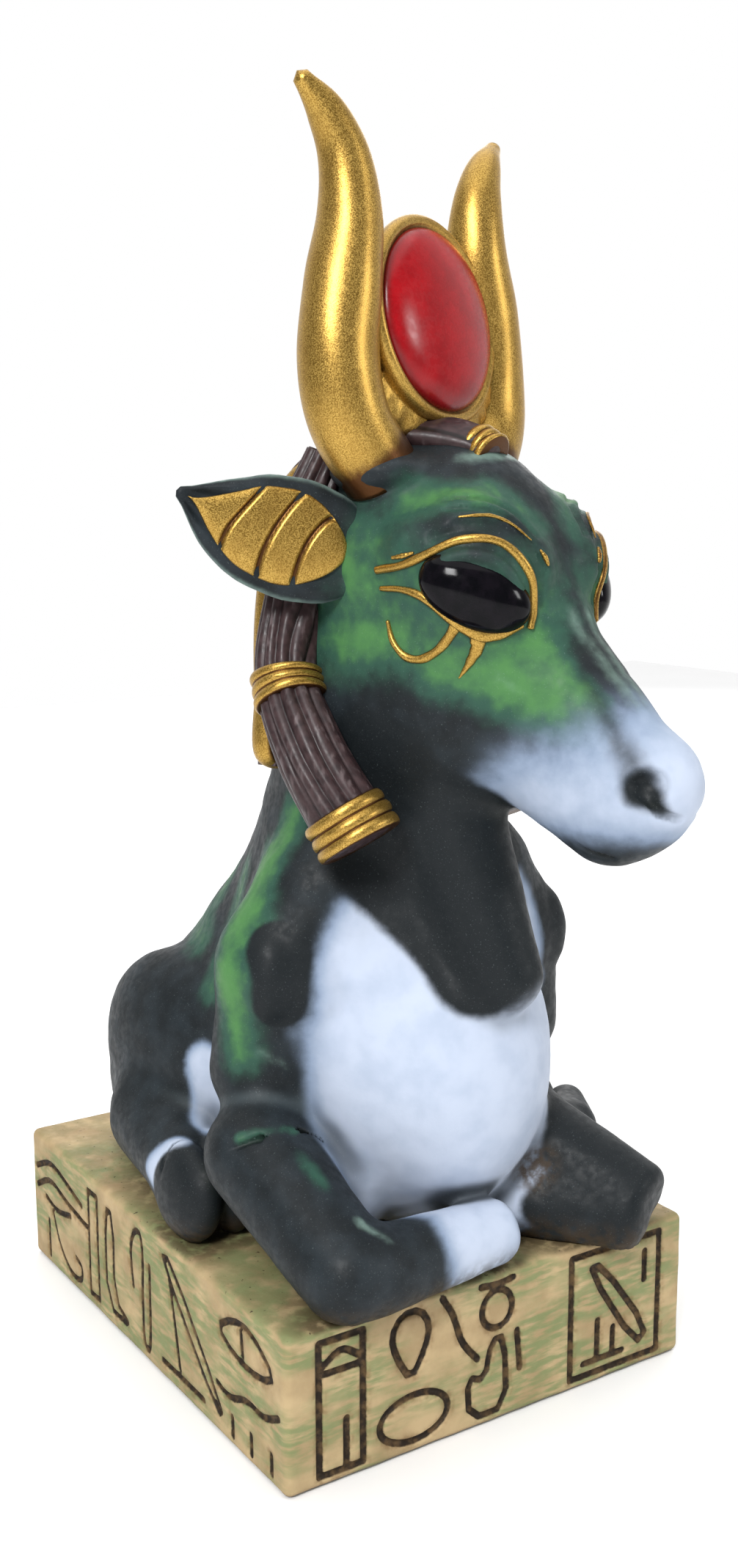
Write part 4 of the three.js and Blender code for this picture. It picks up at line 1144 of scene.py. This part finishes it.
def make_panel_edge():
    """The gold edging down both sides of the panel and across its foot."""
    t = np.linspace(0, 0.985, 8)
    sides = through(PANEL_PATH, t)
    wide = eased(PANEL_HALF_WIDTHS, t) - 0.3
    down = sides + wide[:, None] * ACROSS
    foot = through(PANEL_PATH, np.array([0.985]))
    path = np.concatenate([down, foot, (down * [-1, 1, 1])[::-1]])

    def section(tt, angle):
        groove = 0.16 * np.cos(2 * angle)
        return (PANEL_EDGE + groove) * 0.8 * np.cos(angle), (PANEL_HALF_THICKNESS - 0.5) * np.sin(angle)

    points, faces, _, angle = loft(path, np.linspace(0, 1, 160), 20, AHEAD, section)
    place, faces = on_head(points, faces, 1)
    # Painted shade on the faces of the edging, where they lie sunk against the hair.
    wash = smooth((np.abs(np.sin(angle)) - 0.55) / 0.5) * 0.8
    piece("wig_edging", mesh_of("wig_edging", place, faces), GOLD, wash=wash)


def make_forelock():
    """Three strands lie forward between the horns and are gathered by a clasp."""

    def section(t, angle):
        a, b = round_section(eased(FORELOCK_RADII, t), angle)
        high = np.abs(np.sin(1.5 * (angle - np.pi / 2) + np.pi / 2)) ** 0.7
        return a * eased(FORELOCK_SPREAD, t), b + 0.8 * (high - 0.8) * np.sin(angle)

    points, faces, t, angle = loft(FORELOCK_PATH, np.linspace(0, 0.98, 60), 72, UP, section)
    high = np.abs(np.sin(1.5 * (angle - np.pi / 2) + np.pi / 2))
    place, faces = on_head(points, faces, 1)
    # Painted highlight on the crowns of the strands, and painted shade in the valleys between them.
    marks = {"ridge": smooth((high - 0.75) / 0.25) * 0.8, "wash": smooth((0.35 - high) / 0.3)}
    piece("forelock", mesh_of("forelock", place, faces), HAIR, **marks)
    points, faces, wash = rings(FORELOCK_PATH, FORELOCK_BAND, FORELOCK_RADII, CLASP_SWELL, UP)
    place, faces = on_head(points, faces, 1)
    piece("forelock_clasp", mesh_of("forelock_clasp", place, faces), GOLD, wash=wash)


# Ears
EAR_PATH = [
    [13, 4, 127.9],
    [20, -2, 130.6],
    [28, -8.5, 133.8],
    [34.4, -13.6, 138],
]
EAR_HALF_WIDTHS = [3.6, 7.6, 8.7, 7.8, 4.9, 0.5]
EAR_HALF_THICKNESS = 1.8
EAR_RIM = 1.7
INLAY_SPAN = (0.16, 0.95)
INLAY_GROOVES = [(0.14, 0.13), (0.34, 0.13), (0.57, 0.12)]  # where each starts, and how far its foot leans


def ear_frame(t):
    reach = 1e-3
    centre = through(EAR_PATH, t)
    way = unit(through(EAR_PATH, t + reach) - through(EAR_PATH, t - reach))
    across = unit(np.cross(UP, way))
    return centre, across, np.cross(way, across)


def make_ear(side, name):
    """The ear's dark shell, hollowed in front."""

    def section(t, angle):
        thin = EAR_HALF_THICKNESS * np.minimum(1, 3 * (1 - t) + 0.3)
        front = np.cos(angle) > 0
        hollow = 0.9 * smooth((1 - np.abs(np.sin(angle)) / 0.8) * 2) * smooth((1 - t) * 8) * smooth(t * 6)
        return thin * np.cos(angle) - front * hollow, eased(EAR_HALF_WIDTHS, t) * np.sin(angle)

    points, faces, t, angle = loft(EAR_PATH, np.linspace(0, 1, 70), 72, UP, section, (0, 0.3))
    place, faces = on_head(points, faces, side)
    n = len(points)
    # Painted highlight along the ear's edges, and painted shade at its foot where it meets the head.
    marks = {
        "green": 0.35 * smooth(1 - 3 * t),
        "white": np.zeros(n),
        "dark": np.zeros(n),
        "highlight": 0.5 * smooth((np.abs(np.sin(angle)) - 0.86) / 0.14) * smooth(t * 3),
        "crease_shade": 0.7 * smooth((0.14 - t) / 0.1),
        "ridge": 0.6 * smooth((np.abs(np.sin(angle)) - 0.9) / 0.1),
        "shadow_and_brown": np.zeros(n),
    }
    piece(name, mesh_of(name, place, faces), HIDE, **marks)


def make_inlay(side, name):
    """The gold leaf inside the ear, with three cut grooves."""
    along = np.linspace(*INLAY_SPAN, 90)
    over = np.linspace(-1, 1, 61)
    centre, across, raised = ear_frame(along)
    share = (along - INLAY_SPAN[0]) / (INLAY_SPAN[1] - INLAY_SPAN[0])
    leaf = np.minimum(1, np.sqrt(np.clip(1 - (2 * share - 1) ** 2, 0, 1)) * 1.02)
    wide = np.maximum(eased(EAR_HALF_WIDTHS, along) - EAR_RIM, 0.3) * leaf + 0.02
    s, v = np.meshgrid(share, over, indexing="ij")
    groove = np.zeros_like(s)
    for start, lean in INLAY_GROOVES:
        middle = start + lean * (1 - v) / 2 + 0.05 * (1 - v * v)
        reached = smooth((1.02 - np.abs(v)) / 0.1)
        groove = np.maximum(groove, np.exp(-(((s - middle) / 0.014) ** 2)) * reached)
    dome = 0.75 * np.sqrt(np.clip(1 - v * v, 0, 1)) * np.sqrt(np.clip(1 - (2 * s - 1) ** 2, 0, 1)) ** 0.7
    front = EAR_HALF_THICKNESS * 0.62 + 1.1 * dome - 0.75 * groove
    back = np.full_like(front, EAR_HALF_THICKNESS * 0.35)
    sheets = []
    for depth in (front, back):
        out = depth[..., None] * across[:, None]
        up = (v * wide[:, None])[..., None] * raised[:, None]
        sheets.append((centre[:, None] + out + up).reshape(-1, 3))
    rows, cols = s.shape
    number = np.arange(rows * cols).reshape(rows, cols)
    quad = np.stack([number[:-1, :-1], number[:-1, 1:], number[1:, 1:], number[1:, :-1]], -1).reshape(-1, 4)
    faces = quad[:, ::-1].tolist() + (quad + rows * cols).tolist()
    edge = np.concatenate([number[:-1, 0], number[-1, :-1], number[1:, -1][::-1], number[0, 1:][::-1]])
    after = np.roll(edge, -1)
    faces += np.stack([edge, edge + rows * cols, after + rows * cols, after], 1).tolist()
    # Painted shade in the grooves and along the leaf's edge, and all over its hidden back.
    rim = 0.5 * smooth((np.abs(v) - 0.93) / 0.07)
    wash = np.concatenate([np.maximum(groove, rim).reshape(-1), np.ones(rows * cols)])
    place, faces = on_head(np.concatenate(sheets), faces, side)
    piece(name, mesh_of(name, place, faces), GOLD, wash=wash)


# Eyes
EYE_LINES = {
    "upper": (
        [(-13.1, 2.8), (-9.8, 3.6), (-7.2, 4.8), (-2, 7.1), (3.3, 6.7), (7.3, 2.4), (7.9, -2.5), (7.6, -4.9)],
        [0.55, 0.62, 0.62, 0.6, 0.62, 0.66, 0.62, 0.5],
    ),
    "lower": (
        [(-12.5, 0.3), (-9.8, 0.3), (-7.2, -0.5), (-3.2, -3.5), (-1, -4.8), (1.4, -5.6), (3.7, -5.3),
         (6.4, -4.4)],
        [0.35, 0.5, 0.6, 0.7, 1.0, 1.15, 0.9, 0.5],
    ),
    "loop": (
        [(-2.2, -3.6), (-3.4, -5.9), (-4.8, -7.8), (-7, -9.2), (-9.1, -9), (-10.8, -7.1), (-11.6, -4.2)],
        [0.9, 0.72, 0.66, 0.62, 0.56, 0.48, 0.3],
    ),
    "spike": ([(0.2, -5.2), (0.4, -7.2), (-0.6, -9.4), (-2, -11.6)], [1.2, 1.0, 0.6, 0.12]),
    "brow": ([(-2.3, 10.1), (0, 10.3), (2.3, 10.2), (4.9, 9.1), (7.5, 7.0)], [0.12, 0.24, 0.26, 0.22, 0.1]),
    "spot": ([(8.8, 5.6), (9.5, 4.6), (9.9, 3.6)], [0.15, 0.4, 0.2]),
    "stroke": ([(-11, 4.6), (-9.6, 4.9), (-8.3, 5.3)], [0.25, 0.4, 0.2]),
}
LINE_HEIGHT = 0.55


def make_eye_lines(side, name):
    parts = []
    for places, widths in EYE_LINES.values():
        bent = np.array(places, float)
        path = on_cheek(bent[:, 0], bent[:, 1])

        def section(t, angle, widths=widths):
            wide = eased(widths, t) * (1 + 0.06 * np.sin(31 * t))
            high = LINE_HEIGHT * np.minimum(1, wide / 0.5)
            return wide * np.cos(angle), high * np.sin(angle)

        fine = on_cheek_curve(path)
        t = np.linspace(0, 1, 16 * len(places))
        points, faces, _, angle = loft(fine, t, 16, EYE_OUT, section, (0.2, 0.2))
        # Painted shade along the edges of the raised lines, where they meet the skin.
        wash = 0.75 * smooth((np.abs(np.cos(angle)) - 0.75) / 0.25)
        parts.append((points, faces, wash))
    points, faces, wash = together(parts)
    place, faces = on_head(points, faces, side)
    piece(name, mesh_of(name, place, faces), GOLD, wash=wash)


def on_cheek_curve(path):
    """A curve through places on the cheek, brought back to the skin between them."""
    t = np.linspace(0, 1, 4 * len(path))
    free = through(path, t) - EYE_CENTRE
    return on_cheek(free @ EYE_NOSEWARD, free[:, 2])


def make_eye(side, name):
    """A glossy almond set into the socket."""
    rows, cols = 32, 64
    lat = np.pi * np.arange(1, rows) / rows
    lon = 2 * np.pi * np.arange(cols) / cols
    la, lo = np.meshgrid(lat, lon, indexing="ij")
    ball = np.stack([np.sin(la) * np.cos(lo), np.sin(la) * np.sin(lo), np.cos(la)], -1).reshape(-1, 3)
    ball = np.vstack([ball, [0, 0, 1], [0, 0, -1]])
    faces = []
    j = np.arange(cols)
    for i in range(rows - 2):
        a, b = i * cols, (i + 1) * cols
        faces += np.stack([a + j, b + j, b + (j + 1) % cols, a + (j + 1) % cols], 1).tolist()
    top, bottom = len(ball) - 2, len(ball) - 1
    last = (rows - 2) * cols
    faces += [[top, int(a), int(b)] for a, b in zip(j, (j + 1) % cols)]
    faces += [[last + int(b), last + int(a), bottom] for a, b in zip(j, (j + 1) % cols)]
    shaped = ball * EYE_RADII
    c, s = math.cos(EYE_SLANT), math.sin(EYE_SLANT)
    u = shaped[:, 0] * c + shaped[:, 1] * s
    v = -shaped[:, 0] * s + shaped[:, 1] * c
    centre = EYE_CENTRE - EYE_SET * EYE_OUT
    points = centre + u[:, None] * EYE_NOSEWARD + v[:, None] * UP + shaped[:, 2:] * EYE_OUT
    place, faces = on_head(points, faces, side)
    piece(name, mesh_of(name, place, faces), EYE_BLACK)



# Plinth
STROKE_DEPTH = 0.8
STROKE_WIDTH = 1.15
PLINTH_ROUND = 1.3


def upright(u, low, high):
    return [(u, low), (u, high)], False


def straight(*places):
    return list(places), False


def bent(*places):
    return rounded(np.array(places, float), 2), False


def loop(*places):
    return rounded(np.array(places, float), 1, True), True


def frame_of(u0, v0, u1, v1):
    return [(u0, v0), (u1, v0), (u1, v1), (u0, v1)], True


def oval(u, v, ru, rv):
    angle = 2 * np.pi * np.arange(28) / 28
    return np.stack([u + ru * np.cos(angle), v + rv * np.sin(angle)], 1), True


# The strokes of each face, in its own plane from its lower left corner. They stand for an inscription and
# spell nothing.
FRONT_STROKES = [
    frame_of(5.5, 1.8, 12.8, 22),
    straight((6, 17.2), (12.4, 17.2)),
    bent((6.2, 18.4), (9.2, 20.6), (12.2, 18.4)),
    upright(10, 2.4, 9.4),
    loop((21, 11.6), (23.6, 16), (24.4, 19.4), (22.6, 22.2), (19.4, 22.2), (17.6, 19.4), (18.4, 16)),
    oval(21.6, 5.6, 6, 3.6),
    bent((26.6, 22.6), (28.6, 19.6), (30, 14.6), (33, 11.2)),
    oval(36.6, 18.2, 2.8, 3),
    bent((33.6, 22.4), (36.6, 22), (39.6, 22.4)),
    loop((38.6, 1.8), (38, 13.4), (35.6, 13.4), (34.4, 7.4), (31.2, 8.6), (31.6, 1.8)),
    straight((40.4, 13.6), (41, 7.4)),
    frame_of(51, 1.8, 69, 22),
    loop((64.6, 3.8), (67, 6), (57, 19.6), (54.4, 19.4)),
    straight((53.6, 3.8), (61.6, 3.8)),
    upright(56.4, 4.2, 10.4),
    upright(59.6, 4.2, 8.4),
    upright(66, 14.6, 19.4),
]
SIDE_STROKES = [
    bent((2, 17.4), (8, 20.2), (14, 19.2), (22, 17)),
    bent((2, 13.8), (8, 17), (15, 15.2), (24, 14)),
    bent((6, 12.8), (11, 11.6), (17, 13.2)),
    upright(7, 2, 8.6),
    bent((9, 11), (11.6, 5.6), (16.4, 2.2), (21, 2.4), (21.6, 5.4), (19, 6.2)),
    frame_of(25, 2.4, 28.6, 21),
    loop((41.6, 3), (35, 5.4), (35, 20.4), (32, 20.4), (32, 3)),
    bent(
        (42.6, 11.2), (41.6, 17.4), (43.4, 21.4), (46.6, 21.2), (46, 9), (46.2, 2.2), (48.8, 2.2), (48.8, 17),
    ),
    loop((71.4, 3), (73, 4.4), (56.4, 21.2), (53, 20.6)),
    bent((56, 17.4), (57.6, 11.4), (59, 4.2)),
    straight((53, 3), (67, 3)),
    loop((77.4, 14.8), (84.6, 14.8), (88.8, 16.8), (82, 21), (76.4, 20.4), (71.6, 17.4)),
    straight((79, 19.6), (79.4, 16)),
    bent((71.4, 8.2), (75.4, 7.4), (80.4, 9.8), (85.4, 9.2), (89.6, 11.4)),
    upright(76, 1.8, 4.8),
    upright(81.6, 1.8, 4.8),
    upright(87.4, 1.8, 4.8),
]
PLAIN_STROKES = [
    frame_of(5.5, 2.4, 12, 21.6),
    oval(21, 16, 4.6, 3.6),
    bent((16, 6.4), (20, 8.4), (24, 6.4), (28, 8.4)),
    upright(33, 3, 21),
    straight((38, 20), (44, 4)),
    straight((44, 20), (50, 4)),
    frame_of(55, 4, 66, 20),
]
SIZE = PLINTH_HIGH - PLINTH_LOW
FACES = [
    (FRONT_STROKES, 0, SIZE[0], SIZE[1]),
    (SIDE_STROKES, -90, SIZE[1], SIZE[0]),
    (PLAIN_STROKES, 180, SIZE[0], SIZE[1]),
    (PLAIN_STROKES, 90, SIZE[1], SIZE[0]),
]


def segments(strokes):
    starts, ends = [], []
    for places, closed in strokes:
        places = np.array(places, float)
        after = np.roll(places, -1, 0)
        keep = len(places) if closed else len(places) - 1
        starts.append(places[:keep])
        ends.append(after[:keep])
    return np.concatenate(starts), np.concatenate(ends)


def from_strokes(u, v, strokes):
    """The distance in a face's plane from the middle of the nearest stroke."""
    nearest = np.full(len(u), 1e3)
    for a, b in zip(*segments(strokes)):
        way = b - a
        t = np.clip(((u - a[0]) * way[0] + (v - a[1]) * way[1]) / (way @ way), 0, 1)
        nearest = np.minimum(nearest, np.hypot(u - a[0] - t * way[0], v - a[1] - t * way[1]))
    return nearest


def on_face(p, turn, wide, deep):
    """A point's place along a face, up it, and out of it."""
    c, s = math.cos(math.radians(turn)), math.sin(math.radians(turn))
    along = p[:, 0] * c + p[:, 1] * s
    out = p[:, 0] * s - p[:, 1] * c
    return along + wide / 2, p[:, 2], out - deep / 2


def plinth_field(p):
    half = SIZE / 2 - PLINTH_ROUND
    uneven = 0.05 * waves(p, 3.1) + 0.03 * waves(p, 1.1)
    q = np.abs(p - [0, 0, SIZE[2] / 2]) - half
    d = length(np.maximum(q, 0)) + np.minimum(q.max(1), 0) - PLINTH_ROUND + 0.06 + uneven
    for strokes, turn, wide, deep in FACES:
        u, v, out = on_face(p, turn, wide, deep)
        near = np.abs(out) < 3
        if not near.any():
            continue
        flat = from_strokes(u[near], v[near], strokes)
        deepened = out[near] * STROKE_WIDTH / 2 / STROKE_DEPTH
        groove = np.hypot(flat, deepened) - STROKE_WIDTH / 2
        blend = 0.3
        h = np.maximum(blend - np.abs(d[near] + groove), 0) / blend
        d[near] = np.maximum(d[near], -groove) + h * h * blend / 4
    return d


def make_plinth():
    margin = 1.5
    points, faces = skin(plinth_field, PLINTH_LOW - margin, PLINTH_HIGH + margin, PLINTH_STEP)
    points[:, 2] = np.clip(points[:, 2], PLINTH_LOW[2], PLINTH_HIGH[2])
    mesh = fewer("plinth_block", mesh_of("plinth_block", points, faces), PLINTH_TRIANGLES)
    place = points_of(mesh)
    stroke = np.zeros(len(place))
    halo = np.zeros(len(place))
    for strokes, turn, wide, deep in FACES:
        u, v, out = on_face(place, turn, wide, deep)
        near = np.abs(out) < 2
        flat = from_strokes(u[near], v[near], strokes)
        stroke[near] = np.maximum(stroke[near], smooth((STROKE_WIDTH / 2 + 0.14 - flat) / 0.4))
        halo[near] = np.maximum(halo[near], smooth((STROKE_WIDTH / 2 + 1.2 - flat) / 1.2))
    top = smooth((place[:, 2] - PLINTH_HIGH[2] + 0.8) / 0.6)
    # Painted shadow on the top near the cow, and painted shade along the bottom edge.
    above = np.stack([place[:, 0], place[:, 1], np.full(len(place), SEAT + 1.5)], 1)
    shadow_and_brown = top * smooth((4 - in_chunks(cow_field, above)) / 4)
    foot = smooth((0.9 - place[:, 2]) / 0.7)
    marks = {"stroke": stroke, "halo": halo, "top": top, "shadow_and_brown": shadow_and_brown, "foot": foot}
    plinth = piece("plinth_block", mesh, sand_paint(), "sand_resin", **marks)
    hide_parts("plinth")


# Floor, light and camera


def make_floor():
    half = 800
    points = [(-half, -half, 0), (half, -half, 0), (half, half, 0), (-half, half, 0)]
    mesh = mesh_of("floor", np.array(points, float), [(0, 1, 2, 3)])
    mesh.materials.append(floor_paint())
    floor = bpy.data.objects.new("floor", mesh)
    bpy.context.scene.collection.objects.link(floor)


def make_light(name, place, size, power):
    data = bpy.data.lights.new(name, "AREA")
    data.shape = "RECTANGLE"
    data.size, data.size_y = size
    data.energy = power
    light = bpy.data.objects.new(name, data)
    light.location = place
    target = Vector((0, 0, 0.09))
    light.rotation_euler = (target - light.location).to_track_quat("-Z", "Y").to_euler()
    bpy.context.scene.collection.objects.link(light)


def make_lights():
    make_light("key", (-0.5, -0.4, 0.55), (0.18, 0.22), 5.5)
    make_light("fill", (0.5, -0.65, 0.35), (0.14, 0.18), 1.6)
    make_light("back", (0.5, 0.6, 0.4), (0.5, 0.5), 2)
    make_sky()
    make_surroundings()


def make_sky():
    """A wide soft light from straight above."""
    sky = bpy.data.lights.new("sky", "SUN")
    sky.energy = 1.7
    sky.angle = math.radians(80)
    bpy.context.scene.collection.objects.link(bpy.data.objects.new("sky", sky))


def make_surroundings():
    """White behind the figurine and greyer in front of it, as a lit backdrop in a room."""
    world = bpy.data.worlds.new("studio")
    world.use_nodes = True
    tree = world.node_tree
    place = tree.nodes.new("ShaderNodeTexCoord")
    facing = tree.nodes.new("ShaderNodeVectorMath")
    facing.operation = "DOT_PRODUCT"
    azimuth = math.radians(CAMERA_AZIMUTH)
    facing.inputs[1].default_value = (-math.sin(azimuth), math.cos(azimuth), 0)
    tree.links.new(place.outputs["Generated"], facing.inputs[0])
    span = tree.nodes.new("ShaderNodeMapRange")
    span.interpolation_type = "SMOOTHSTEP"
    tree.links.new(facing.outputs["Value"], span.inputs["Value"])
    spans = {"From Min": -0.1, "From Max": 0.75, "To Min": ROOM_LIGHT, "To Max": BACKDROP_LIGHT}
    for key, number in spans.items():
        span.inputs[key].default_value = number
    tree.links.new(span.outputs["Result"], tree.nodes["Background"].inputs["Strength"])
    tree.nodes["Background"].inputs["Color"].default_value = (1, 1, 1, 1)
    bpy.context.scene.world = world
    bpy.context.scene.view_settings.view_transform = "Standard"


def make_camera():
    data = bpy.data.cameras.new("camera")
    data.sensor_width = SENSOR
    data.lens = FOCAL_PIXELS / IMAGE_HEIGHT * SENSOR
    data.clip_start = 0.01
    camera = bpy.data.objects.new("camera", data)
    azimuth, pitch = math.radians(CAMERA_AZIMUTH), math.radians(CAMERA_PITCH)
    level = math.cos(pitch)
    ahead = Vector((-math.sin(azimuth) * level, math.cos(azimuth) * level, -math.sin(pitch)))
    turn = ahead.to_track_quat("-Z", "Y").to_matrix() @ Matrix.Rotation(math.radians(CAMERA_ROLL), 3, "Z")
    camera.matrix_world = Matrix.Translation(Vector(CAMERA_PLACE) * MM) @ turn.to_4x4()
    bpy.context.scene.collection.objects.link(camera)
    bpy.context.scene.camera = camera


def build():
    make_camera()
    make_floor()
    make_lights()
    make_hide()
    make_plinth()
    make_disc()
    make_disc_foot()
    make_panel()
    make_panel_edge()
    make_forelock()
    for side, word in ((-1, "right"), (1, "left")):
        make_horn(side, f"horn_{word}")
        make_ear(side, f"ear_{word}")
        make_inlay(side, f"ear_inlay_{word}")
        make_braid(side, f"braid_{word}")
        make_bands(side, f"braid_bands_{word}")
        make_braid_end(side, f"braid_end_{word}")
        make_eye(side, f"eye_{word}")
        make_eye_lines(side, f"eye_lines_{word}")


build()
